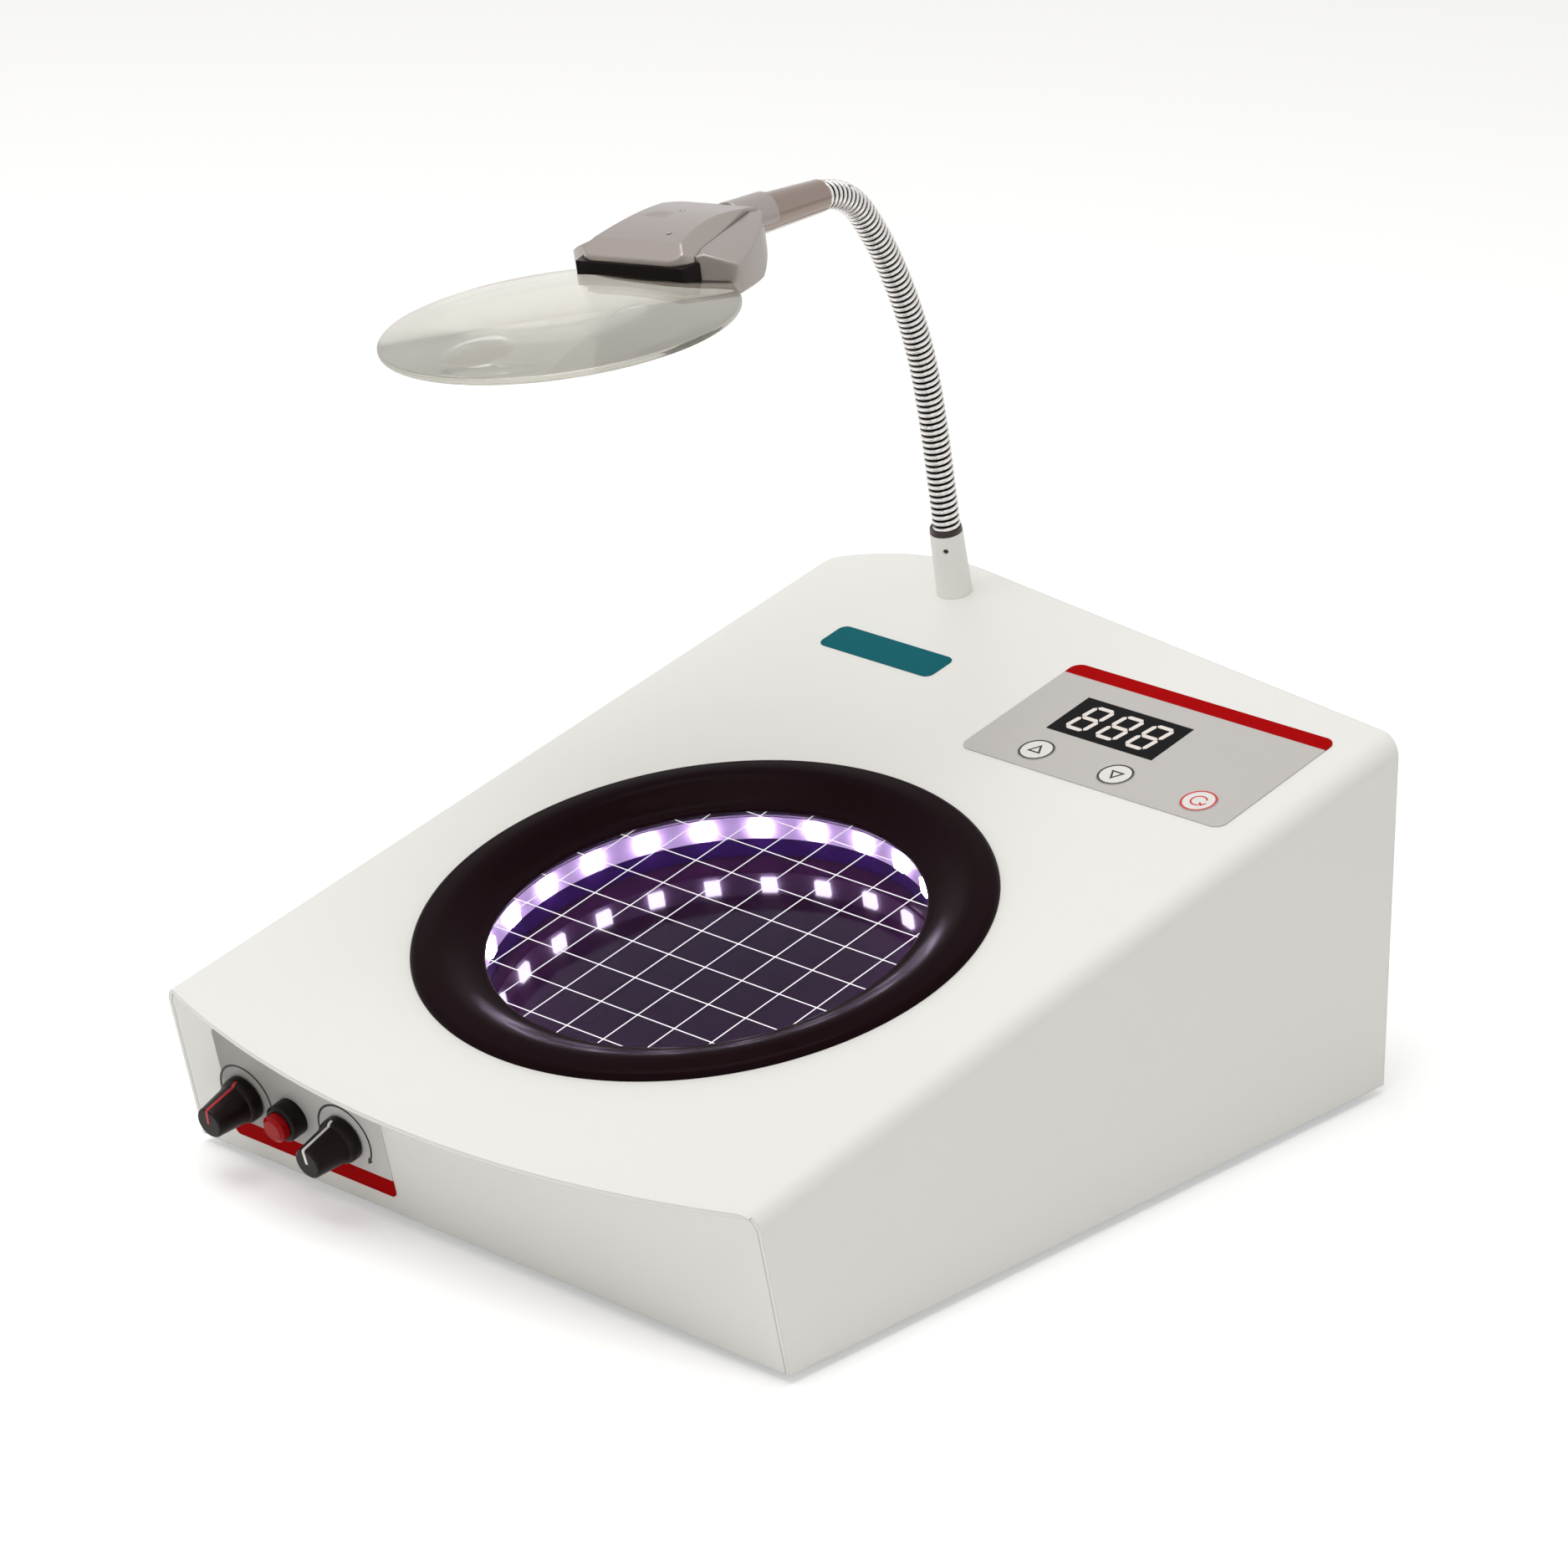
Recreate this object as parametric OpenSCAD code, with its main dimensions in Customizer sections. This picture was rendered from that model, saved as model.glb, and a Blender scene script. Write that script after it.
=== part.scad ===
// Colony counter: a sloped instrument casing with a lit dish stage, a keypad with a
// three-digit display, two rotary controls and a push-button on the front, and a
// magnifier on a gooseneck.  X is to the right, Y to the back, Z up.  The origin is the
// centre of the base plate's underside.

/* [Casing] */
// Width of the casing
case_w = 250; // [220:1:290]
// Depth of the side walls at the base
base_d = 284; // [260:1:330]
// Height of the casing at its front top corners
front_h = 55.5; // [50:0.5:75]
// Height of the casing at the rear ends of its side walls
rear_h = 119.5; // [105:0.5:140]
// How far the front top corners stand ahead of the front panel's foot
front_lean = 14; // [6:0.5:20]
// How far the front edge of the top bows forward past its corners
front_bow = 21; // [10:0.5:26]
// How far the rear edge bows back past the side walls
rear_bow = 23; // [16:0.5:28]
// Distance of the deepest point of the rear bow from the left side
rear_bow_in = 58; // [50:1:64]
// Radius of the rear edge round the gooseneck
rear_bow_r = 65; // [62:1:75]
// Thickness of the casing sheet
sheet_t = 1.5; // [1:0.1:2]
// Outer radius of the bends between the top and the sides
bend_r = 7; // [4:0.5:10]
// Width of the flanges that turn inwards at the foot of each wall
flange_w = 12; // [10:0.5:15]
// Height of the rubber feet
foot_h = 3; // [2:0.5:6]
// Radius of the rubber feet
foot_r = 8; // [6:0.5:10]

/* [Dish stage] */
// Distance of the stage's centre up the slope from the top's front corners
stage_u = 114; // [106:0.5:122]
// Outer radius of the black bezel ring
ring_r = 92; // [84:0.5:98]
// Height of the bezel ring above the top
ring_h = 3.2; // [2:0.1:5]
// Radius of the round window inside the bezel ring
window_r = 69; // [60:0.5:72]
// Radius of the hole in the top
stage_hole_r = 81; // [79:0.5:83]
// Radius of the glass disc
glass_r = 74.5; // [73:0.5:76]
// Thickness of the glass disc
glass_t = 3; // [2:0.2:5]
// Depth of the glass disc's upper face below the top
glass_drop = 4; // [3:0.2:6]
// Inner radius of the light chamber
chamber_r = 72; // [70:0.5:73]
// Depth of the background disc's face below the top
chamber_depth = 22; // [18:0.5:32]
// Number of light-emitting diodes on the strip round the chamber
led_count = 24; // [12:1:30]
// Angle of the first diode round the stage
led_phase = -1; // [-8:1:8]
// Depth of the row of diodes below the top
led_drop = 11.5; // [10:0.5:14]

/* [Keypad] */
// Distance of the keypad label's right edge from the right side
pad_in = 15.5; // [12:0.5:19]
// Distance of the keypad label's rear edge from the top's rear corners
pad_rear = 11.8; // [10:0.1:16]
// Width of the keypad label
pad_w = 106.5; // [104:0.5:110]
// Length of the keypad label up the slope
pad_l = 60.5; // [58:0.5:62]
// Thickness of both printed labels
label_t = 0.4; // [0.2:0.1:0.8]
// Corner radius of both printed labels
label_r = 4; // [2:0.5:6]
// Width of the coloured stripe along each label
stripe_w = 6.5; // [4:0.5:8]
// Left edge of the display window from the label's left edge
display_x = 18; // [15:0.5:20]
// Front edge of the display window from the label's front edge
display_u = 22.5; // [21:0.5:24]
// Width of the display window
display_w = 43.5; // [40:0.5:46]
// Length of the display window up the slope
display_l = 22; // [20:0.5:24]
// Height of the digits
digit_h = 14; // [11:0.5:15]
// Lean of the digits to the right
digit_lean = 8; // [0:1:12]
// Radius of the keys
key_r = 6; // [5:0.1:6.5]
// Distance of the key row from the label's front edge
key_u = 10; // [9:0.5:11]
// Place of each key from the label's left edge
key_xs = [24.5, 57, 90.5];
// Travel of the keys
key_travel = 0.4; // [0.2:0.1:0.8]
// How far the keys stand above the label
key_proud = 0.2; // [0.1:0.1:0.5]

/* [Front controls] */
// Distance of the front label from the left side
front_label_in = 18; // [14:0.5:20]
// Width of the front label
front_label_w = 71.5; // [68:0.5:76]
// Height of the front label's foot up the front panel
front_label_v = 6.5; // [5:0.5:8]
// Length of the front label up the front panel
front_label_l = 40; // [36:0.5:42]
// Height of the controls' row up the front panel
control_v = 23.5; // [22:0.5:26]
// Distance of the left knob from the left side
knob_left_in = 27.5; // [26:0.5:29]
// Distance of the right knob from the left side
knob_right_in = 71.5; // [69:0.5:74]
// Distance of the push-button from the left side
button_in = 48.5; // [47:0.5:50]
// Radius of the knobs at their skirt
knob_r = 7.7; // [7.2:0.1:8.5]
// Radius of the knobs at their tip
knob_tip_r = 5.2; // [4.4:0.1:6]
// Length of the knobs
knob_l = 16; // [13:0.5:20]
// Radius of the control shafts
shaft_r = 3; // [2:0.1:3.2]
// Angle of the left knob's pointer from straight up
pointer_left_turn = -5; // [-130:1:130]
// Angle of the right knob's pointer from straight up
pointer_right_turn = 5; // [-130:1:130]
// Radius of the push-button's collar
button_collar_r = 6.3; // [6:0.1:7]
// Height of the push-button's collar above the label
button_collar_h = 6; // [4:0.5:8]
// Radius of the push-button's cap
button_cap_r = 4.6; // [4:0.1:5]
// How far the cap stands out of its collar
button_cap_h = 3.4; // [3:0.1:5]
// Travel of the push-button
button_travel = 2.2; // [1:0.1:2.4]

/* [Gooseneck] */
// Distance of the gooseneck's foot from the left side
neck_in = 59; // [55:0.5:63]
// How far the gooseneck's foot stands behind the top's rear corners
neck_rear = 7.2; // [4:0.1:9]
// Angle between the arm and the casing's length, seen from above
arm_turn = 5.3; // [-10:0.1:20]
// Radius of the collar at its foot
collar_r = 6.1; // [5.8:0.1:8]
// Height of the collar
collar_h = 23; // [18:0.5:30]
// Radius of the wire that the gooseneck is wound from
wire_r = 1; // [0.9:0.05:1]
// Outer radius of the gooseneck
neck_r = 4.85; // [4.8:0.05:5.5]
// Number of turns in each stretch of the gooseneck
turns = 11; // [6:1:12]
// Clear distance between the turns where two stretches meet
stretch_gap = 0.9; // [0.85:0.05:0.95]
// Length of the polished sleeve between the gooseneck and the head
sleeve_l = 29; // [26:0.5:30]
// Radius of the polished sleeve where it meets the gooseneck
sleeve_r = 5.4; // [5.2:0.1:5.7]
// Radius of the polished sleeve where it enters the head
sleeve_wide_r = 6.3; // [6:0.1:6.4]

/* [Magnifier] */
// Radius of the lens
lens_r = 55.5; // [50:0.5:60]
// Radius of curvature of the lens's two faces
lens_face_r = 330; // [280:5:500]
// Thickness of the lens at its rim
lens_edge_t = 2; // [1.5:0.1:3]
// Distance of the head's front edge from the lens's centre
head_front = 36; // [32:0.5:40]
// Half the width of the head at its widest
head_half_w = 34; // [32:0.5:38]
// Height of the head's top above the lens's middle plane
head_top = 16; // [15:0.5:17]
// Depth of the head's underside below the lens's middle plane
head_bottom = 6.5; // [5:0.5:8]
// Radius of the head's collar round the sleeve
head_collar_r = 7; // [6.5:0.1:8]
// Length of the head's saddle over the sleeve
saddle_l = 18; // [16:0.5:20]

/* [Hidden] */
$fn = 64;

fit = 0.05;             // radial clearance of a running fit
seam = 0.2;             // clearance between sheets that meet
eps = 0.01;
far = 400;              // reach of a cutting block past the casing
drill_over = 1;         // how far a drill runs past a face
screw_r = 1.5;
screw_clear = 0.1;      // radial clearance of a screw in its hole
head_r = 2.8;
head_t = 1.6;
screw_l = 6;

front_y = -base_d / 2 - front_lean;
slope = atan((rear_h - front_h) / (base_d + front_lean));
lean = atan(front_lean / front_h);
inner_w = case_w - 2 * sheet_t;
top_l = (base_d + front_lean) / cos(slope);
left_side = -case_w / 2;
rear_bow_x = left_side + rear_bow_in;
pad_x = case_w / 2 - pad_in - pad_w;
pad_u = top_l - pad_rear - pad_l;
front_label_x = left_side + front_label_in;
knob_left_x = left_side + knob_left_in;
knob_right_x = left_side + knob_right_in;
button_x = left_side + button_in;
neck_x = left_side + neck_in;
neck_u = top_l + neck_rear;

// ---- frames of reference -------------------------------------------------------------
// On the top: x across, u up the slope from the front corners, h out of the top.
module on_top(x = 0, u = 0, h = 0) {
    translate([0, front_y, front_h]) rotate([slope, 0, 0]) translate([x, u, h]) children();
}
// On the front panel: x across, v up the panel from its foot, h out of the panel.
module on_front(x = 0, v = 0, h = 0) {
    translate([0, -base_d / 2, 0]) rotate([90 + lean, 0, 0]) translate([x, v, h]) children();
}
// Extrudes an outline in the Y-Z plane across X.
module across(w) {
    translate([-w / 2, 0, 0]) rotate([90, 0, 90]) linear_extrude(w) children();
}
// Half space under the top, a given depth below its face.
module under_top(depth) {
    on_top(0, 0, -depth - far) translate([-far, -far, 0]) cube([2 * far, 3 * far, far]);
}
module ring(r_out, r_in, h) {
    difference() {
        cylinder(h = h, r = r_out);
        translate([0, 0, -drill_over]) cylinder(h = h + 2 * drill_over, r = r_in);
    }
}
module rounded_plate(w, l, r, t) {
    linear_extrude(t) union() {
        translate([r, 0]) square([w - 2 * r, l]);
        translate([0, r]) square([w, l - 2 * r]);
        for (x = [r, w - r], y = [r, l - r]) translate([x, y]) circle(r);
    }
}
module hex_nut(r_flat, r_bore, h) {
    difference() {
        cylinder(h = h, r = r_flat / cos(30), $fn = 6);
        translate([0, 0, -drill_over]) cylinder(h = h + 2 * drill_over, r = r_bore);
    }
}
// Pan-head screw: its head stands under z = 0 and its shank goes up.
module screw(l) {
    translate([0, 0, -head_t]) cylinder(h = head_t, r = head_r);
    cylinder(h = l, r = screw_r);
}

// ---- casing ----------------------------------------------------------------------------
// Plan of the casing: straight from the right rear corner to the deepest point of the bow,
// then a round end of radius rear_bow_r that comes in to the left side.
rear_run = case_w / 2 - rear_bow_x;
rear_skew = atan(rear_bow / rear_run);
bow_top = [rear_bow_x, base_d / 2 + rear_bow];
bow_c = bow_top - rear_bow_r * [sin(rear_skew), cos(rear_skew)];
module plan(side, rear) {
    tip = bow_top - rear * [sin(rear_skew), cos(rear_skew)];
    right_y = base_d / 2 - rear / cos(rear_skew);
    intersection() {
        union() {
            translate(bow_c) circle(rear_bow_r - rear, $fn = 180);
            polygon([[-far, -far], [far, -far], [far, right_y - (far - case_w / 2)
                * tan(rear_skew)], tip, bow_c, [-far, bow_c[1]]]);
        }
        translate([-case_w / 2 + side, -far]) square([case_w - 2 * side, 2 * far]);
    }
}
// Cross-section of the top and sides, an inset inside the outer face.
module section(inset) {
    w = case_w / 2 - inset;
    r = bend_r - inset;
    union() {
        translate([-w, -far]) square([2 * w, far - bend_r]);
        translate([-w + r, -bend_r]) square([2 * (w - r), bend_r - inset]);
        for (s = [-1, 1]) translate([s * (w - r), -bend_r]) circle(r);
    }
}
module section_bar(inset) {
    on_top(0, 2 * far, 0) rotate([90, 0, 0]) linear_extrude(3 * far) section(inset);
}
front_edge_r = (pow(case_w / 2, 2) + pow(front_bow, 2)) / (2 * front_bow);
foot_x = case_w / 2 - 27;
foot_y = base_d / 2 - 32;
base_screw_at = [for (s = [-1, 1], y = [-0.36, 0, 0.36]) [s * (inner_w / 2 - flange_w / 2),
    y * base_d]];
display_at = [pad_x + display_x, pad_u + display_u];
window_seam = 0.15;

module top_cover() color([0.92, 0.915, 0.9]) {
    difference() {
        intersection() {
            section_bar(0);
            linear_extrude(far) plan(0, 0);
            on_top(0, front_edge_r - front_bow, -far) cylinder(h = 2 * far, r = front_edge_r,
                $fn = 360);
        }
        // hollow inside, down to the flanges at the foot of the side walls
        difference() {
            section_bar(sheet_t);
            for (s = [-1, 1]) translate([s * (case_w - flange_w) / 2, 0, sheet_t])
                translate([-flange_w / 2, -base_d / 2 + flange_w, 0])
                    cube([flange_w, base_d - 2 * flange_w, sheet_t]);
        }
        // the side walls end at the front panel's face, under the projecting lip
        difference() {
            on_front(0, 0, 0) translate([-far, -far, 0]) cube([2 * far, 2 * far, far]);
            on_top(0, 0, -sheet_t) translate([-far, -far, 0]) cube([2 * far, 2 * far, far]);
        }
        on_top(0, stage_u, -far) cylinder(h = 2 * far, r = stage_hole_r);
        on_top(display_at[0], display_at[1], -bend_r)
            cube([display_w, display_l, 2 * bend_r]);
        for (x = key_xs) on_top(pad_x + x, pad_u + key_u, -bend_r)
            cylinder(h = 2 * bend_r, r = key_r + window_seam);
        on_top(neck_x, neck_u, -bend_r) cylinder(h = 2 * bend_r, r = stud_r + screw_clear);
        for (p = base_screw_at) translate([p[0], p[1], 0])
            cylinder(h = 3 * sheet_t, r = screw_r);
    }
}

module front_panel() color([0.9, 0.895, 0.87]) {
    difference() {
        intersection() {
            union() {
                on_front(0, 0, -sheet_t) translate([-case_w / 2, 0, 0])
                    cube([case_w, 2 * front_h, sheet_t]);
                translate([-case_w / 2, -base_d / 2, sheet_t])
                    cube([case_w, flange_w - 2 * seam, sheet_t]);
            }
            section_bar(sheet_t + seam);
            translate([-far, -far, 0]) cube(2 * far);
            on_front(0, 0, -far) translate([-far, -far, 0]) cube([2 * far, 2 * far, far]);
        }
        for (x = [knob_left_x, knob_right_x]) on_front(x, control_v, -bend_r)
            cylinder(h = 2 * bend_r, r = bushing_r + screw_clear);
        on_front(button_x, control_v, -bend_r)
            cylinder(h = 2 * bend_r, r = button_thread_r + screw_clear);
    }
}

rear_inset = 0.8;       // the top covers the rear panel by this much
jack_x = 70;
jack_z = 22;
module on_rear(x, z) {
    translate([x, base_d / 2 + (case_w / 2 - x) * tan(rear_skew) - rear_inset / cos(rear_skew), z])
        rotate([0, 0, -rear_skew]) rotate([-90, 0, 0]) children();
}
module rear_panel() color([0.9, 0.895, 0.87]) {
    difference() {
        intersection() {
            union() {
                linear_extrude(far) difference() {
                    plan(0, rear_inset);
                    plan(-far, rear_inset + sheet_t);
                }
                translate([0, 0, sheet_t]) linear_extrude(sheet_t) difference() {
                    intersection() {
                        plan(0, rear_inset + sheet_t / 2);
                        translate([-far, base_d / 2 - flange_w + 2 * seam]) square(2 * far);
                    }
                    plan(-far, rear_inset + flange_w);
                }
            }
            section_bar(sheet_t + seam);
            translate([-far, 0, 0]) cube(2 * far);
        }
        on_rear(jack_x, jack_z) translate([0, 0, -bend_r])
            cylinder(h = 2 * bend_r, r = jack_r + screw_clear);
    }
}

// The base plate lies inside the walls, under their flanges.
module base_plate() color([0.75, 0.75, 0.73]) difference() {
    intersection() {
        linear_extrude(sheet_t) plan(sheet_t + seam, rear_inset + sheet_t + seam);
        translate([-far, -base_d / 2 + sheet_t / cos(lean) + seam, 0]) cube(2 * far);
    }
    for (p = base_screw_at) translate([p[0], p[1], -drill_over])
        cylinder(h = 2 * sheet_t + drill_over, r = screw_r + screw_clear);
    for (p = foot_at) translate([p[0], p[1], -drill_over])
        cylinder(h = 2 * sheet_t + drill_over, r = screw_r);
}

foot_at = [for (x = [-1, 1], y = [-1, 1]) [x * foot_x, y * foot_y]];
foot_recess = head_t + seam;
module rubber_feet() color([0.08, 0.08, 0.08])
    for (p = foot_at) translate([p[0], p[1], -foot_h]) difference() {
        cylinder(h = foot_h, r1 = foot_r - foot_h / 4, r2 = foot_r);
        translate([0, 0, -drill_over]) cylinder(h = foot_recess + drill_over, r = head_r + seam);
        cylinder(h = foot_h + drill_over, r = screw_r + screw_clear);
    }
// One size of pan-head screw holds the base, the feet, the chamber and both boards.
module screws() color([0.7, 0.7, 0.72]) {
    for (p = base_screw_at) translate([p[0], p[1], 0]) screw(screw_l);
    for (p = foot_at) translate([p[0], p[1], -foot_h + foot_recess]) screw(screw_l);
    for (a = chamber_screw_at) on_stage(-chamber_top - ear_t) rotate([0, 0, a])
        translate([(glass_r + spigot_r) / 2, 0, 0]) screw(screw_l);
    for (x = board_post_x, u = board_post_u) on_pad(x, u, -board_h - board_t) screw(screw_l);
    for (p = main_post_at) translate([p[0], p[1], main_z + board_t]) mirror([0, 0, 1])
        screw(screw_l);
}

// ---- dish stage ------------------------------------------------------------------------
spigot_gap = 0.4;
spigot_r = stage_hole_r - spigot_gap;
glass_seat = 1.2;       // thickness of the ring's lip over the glass
gasket_t = 0.8;
chamber_wall = 2;
chamber_top = glass_drop + glass_t + gasket_t;
disc_t = 1.5;
module on_stage(h = 0) { on_top(0, stage_u, h) children(); }
// The ring's section: a rounded outer rim, a crowned face and a fall to the window.
module bezel_ring() color([0.07, 0.05, 0.06]) on_stage() {
    rim = 2.6;
    crown = ring_r - 7;
    fall = window_r + 7.5;
    difference() {
        rotate_extrude($fn = 180) polygon(concat(
            [[glass_r + fit, -glass_drop], [window_r, -glass_drop],
                [window_r, -glass_drop + glass_seat], [fall, ring_h - 0.9], [crown, ring_h]],
            [for (a = [90:-15:0]) [ring_r - rim, 0] + rim * [cos(a), sin(a)]],
            [[spigot_r, 0], [spigot_r, -chamber_top], [glass_r + fit, -chamber_top]]));
        for (a = chamber_screw_at) rotate([0, 0, a])
            translate([(glass_r + spigot_r) / 2, 0, -chamber_top - drill_over])
                cylinder(h = screw_l - ear_t + drill_over, r = screw_r);
    }
}
module glass_gasket() color([0.1, 0.1, 0.1]) on_stage(-chamber_top)
    ring(glass_r - fit, chamber_r, gasket_t);
module grid_glass() color([0.8, 0.82, 0.85, 0.3]) on_stage(-glass_drop - glass_t)
    cylinder(h = glass_t, r = glass_r, $fn = 180);
ear_t = 2;
chamber_screw_at = [45, 135, 225, 315];
// The light chamber is an open pot that hangs by its rim under the bezel ring.
module light_chamber() color([0.2, 0.18, 0.3]) on_stage() difference() {
    union() {
        translate([0, 0, -chamber_top - ear_t]) cylinder(h = ear_t, r = spigot_r);
        translate([0, 0, -chamber_depth - disc_t - chamber_wall])
            cylinder(h = chamber_depth + disc_t + chamber_wall - chamber_top - ear_t,
                r = chamber_r + chamber_wall);
    }
    translate([0, 0, -chamber_depth - disc_t]) cylinder(h = far, r = chamber_r);
    for (a = chamber_screw_at) rotate([0, 0, a])
        translate([(glass_r + spigot_r) / 2, 0, -chamber_top - ear_t - drill_over])
            cylinder(h = ear_t + 2 * drill_over, r = screw_r + screw_clear);
}
module background_disc() color([0.05, 0.03, 0.09]) on_stage(-chamber_depth - disc_t)
    cylinder(h = disc_t, r = chamber_r - seam, $fn = 180);
strip_t = 0.5;
strip_w = 8;
led_w = 5;
led_t = 1.4;
module led_strip() color([0.85, 0.85, 0.9]) on_stage(-led_drop - strip_w / 2)
    ring(chamber_r - fit, chamber_r - fit - strip_t, strip_w);
module leds() color([1, 0.98, 0.85]) on_stage(-led_drop)
    for (i = [0:led_count - 1]) rotate([0, 0, led_phase + i * 360 / led_count])
        translate([chamber_r - fit - strip_t - led_t - 0.05, -led_w / 2, -led_w / 2])
            cube([led_t, led_w, led_w]);

// ---- keypad and display ----------------------------------------------------------------
module on_pad(x, u, h = 0) { on_top(pad_x + x, pad_u + u, h) children(); }
module keypad_label() color([0.73, 0.72, 0.72]) difference() {
    on_pad(0, 0) rounded_plate(pad_w, pad_l, label_r, label_t);
    on_pad(-1, pad_l - stripe_w, -1) cube([pad_w + 2, 2 * stripe_w, label_t + 2]);
    on_pad(display_x, display_u, -1) cube([display_w, display_l, label_t + 2]);
    for (x = key_xs) on_pad(x, key_u, -1) cylinder(h = label_t + 2, r = key_r + window_seam);
}
module keypad_stripe() color([0.72, 0, 0.02]) intersection() {
    on_pad(0, 0) rounded_plate(pad_w, pad_l, label_r, label_t);
    on_pad(-1, pad_l - stripe_w, -1) cube([pad_w + 2, 2 * stripe_w, label_t + 2]);
}
window_t = sheet_t + label_t;
module display_window() color([0.03, 0.02, 0.02])
    on_pad(display_x + window_seam, display_u + window_seam, -sheet_t)
        cube([display_w - 2 * window_seam, display_l - 2 * window_seam, window_t]);
digit_w = digit_h * 0.5;
bar = digit_h * 0.12;   // width of a lit bar
bar_gap = 0.25;
digit_pitch = digit_w * 1.75;
digit_t = 0.12;
// One lit bar with pointed ends, along +Y from the origin.
module lit_bar(l) {
    linear_extrude(digit_t) polygon([[0, bar_gap], [bar / 2, bar / 2 + bar_gap],
        [bar / 2, l - bar / 2 - bar_gap], [0, l - bar_gap],
        [-bar / 2, l - bar / 2 - bar_gap], [-bar / 2, bar / 2 + bar_gap]]);
}
// The three upper rows and the two columns of a seven-bar digit; the columns lean.
module digit() {
    half = digit_h / 2;
    for (row = [0:2]) translate([row * half * tan(digit_lean), row * half, 0])
        rotate([0, 0, -90]) lit_bar(digit_w);
    for (row = [0:1], x = [0, digit_w]) translate([x + row * half * tan(digit_lean), row * half, 0])
        rotate([0, 0, -digit_lean]) lit_bar(half / cos(digit_lean));
}
module display_digits() color([1, 0.95, 0.9])
    for (i = [-1:1]) on_pad(display_x + display_w / 2 + i * digit_pitch - digit_w / 2
        - digit_h * tan(digit_lean) / 2, display_u + (display_l - digit_h) / 2, label_t)
        digit();
module_t = 8;
module display_module() color([0.15, 0.15, 0.15])
    on_pad(display_x + 3, display_u + 1, -sheet_t - seam - module_t)
        cube([display_w - 6, display_l - 2, module_t]);
board_t = 1.6;
board_h = sheet_t + seam + module_t;    // depth of the board's upper face
board_edge = 4;
module display_board() color([0.05, 0.35, 0.15]) difference() {
    on_pad(board_edge, board_edge - 2, -board_h - board_t)
        cube([pad_w - 2 * board_edge, pad_l - 2 * board_edge, board_t]);
    for (x = board_post_x, u = board_post_u) on_pad(x, u, -board_h - board_t - drill_over)
        cylinder(h = board_t + 2 * drill_over, r = screw_r + screw_clear);
}
board_post_x = [board_edge + 5, pad_w - board_edge - 5];
board_post_u = [display_u - 1.5, pad_l - 10.5];
module board_posts() color([0.8, 0.8, 0.82])
    for (x = board_post_x, u = board_post_u) on_pad(x, u, -board_h) difference() {
        cylinder(h = board_h - sheet_t, r = 3);
        translate([0, 0, -drill_over])
            cylinder(h = screw_l - board_t + drill_over, r = screw_r);
    }
key_flange_t = 0.8;
key_flange_h = 0.3;     // gap between a key's flange and the sheet when the key is up
stem_r = 1.3;
switch_top = board_h - 4.3;
module key_switches() color([0.1, 0.1, 0.1])
    for (x = key_xs) on_pad(x, key_u, -board_h) difference() {
        translate([-3, -3, 0]) cube([6, 6, board_h - switch_top]);
        translate([0, 0, 1]) cylinder(h = 6, r = stem_r + fit);
    }
// A key: a round cap in the label, a flange that keeps it in, and a stem to its switch.
module key(i) on_pad(key_xs[i], key_u) {
    translate([0, 0, -sheet_t - key_flange_h - key_flange_t])
        cylinder(h = sheet_t + key_flange_h + key_flange_t + label_t + key_proud, r = key_r);
    translate([0, 0, -sheet_t - key_flange_h - key_flange_t])
        cylinder(h = key_flange_t, r = key_r + 0.9);
    translate([0, 0, -switch_top - 0.6]) cylinder(h = switch_top - sheet_t, r = stem_r);
}
module key_up() color([0.78, 0.77, 0.76]) key(0);
module key_down() color([0.78, 0.77, 0.76]) key(1);
module key_reset() color([0.8, 0.72, 0.72]) key(2);

// ---- front controls --------------------------------------------------------------------
module front_label_plate() on_front(front_label_x, front_label_v)
    rounded_plate(front_label_w, front_label_l, label_r / 2, label_t);
module front_label_holes() {
    for (x = [knob_left_x, knob_right_x]) on_front(x, control_v, -1)
        cylinder(h = label_t + 2, r = bushing_r + screw_clear);
    on_front(button_x, control_v, -1)
        cylinder(h = label_t + 2, r = button_thread_r + screw_clear);
}
module front_label() color([0.6, 0.585, 0.575]) difference() {
    front_label_plate();
    on_front(front_label_x - 1, 0, -1) cube([front_label_w + 2, front_label_v + stripe_w, 3]);
    front_label_holes();
}
module front_stripe() color([0.65, 0, 0.01]) intersection() {
    front_label_plate();
    on_front(front_label_x - 1, 0, -1) cube([front_label_w + 2, front_label_v + stripe_w, 3]);
}
bushing_r = 3.6;
control_body_r = 8;
control_body_t = 9;
nut_t = 2;
// A rotary control: round case behind the panel and a threaded bushing through it.
module control() difference() {
    union() {
        translate([0, 0, -sheet_t - control_body_t]) cylinder(h = control_body_t, r = control_body_r);
        translate([0, 0, -sheet_t]) cylinder(h = sheet_t + label_t + nut_t + 0.6, r = bushing_r);
    }
    translate([0, 0, -sheet_t - control_body_t + 1.5]) cylinder(h = far, r = shaft_r + fit);
}
module left_control() color([0.6, 0.6, 0.62]) on_front(knob_left_x, control_v) control();
module right_control() color([0.6, 0.6, 0.62]) on_front(knob_right_x, control_v) control();
module control_nuts() color([0.75, 0.75, 0.77]) for (x = [knob_left_x, knob_right_x])
    on_front(x, control_v, label_t) hex_nut(4.6, bushing_r, nut_t);
knob_lift = 0.5;        // clearance between a knob's skirt and the label
knob_bore_l = 10;
knob_cave_h = 3.4;
shaft_seat = sheet_t + control_body_t - 1.5 - 0.3;
module control_shaft() translate([0, 0, -shaft_seat])
    cylinder(h = shaft_seat + label_t + knob_cave_h + knob_bore_l - fit, r = shaft_r);
module left_shaft() color([0.8, 0.8, 0.82]) on_front(knob_left_x, control_v) control_shaft();
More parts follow.
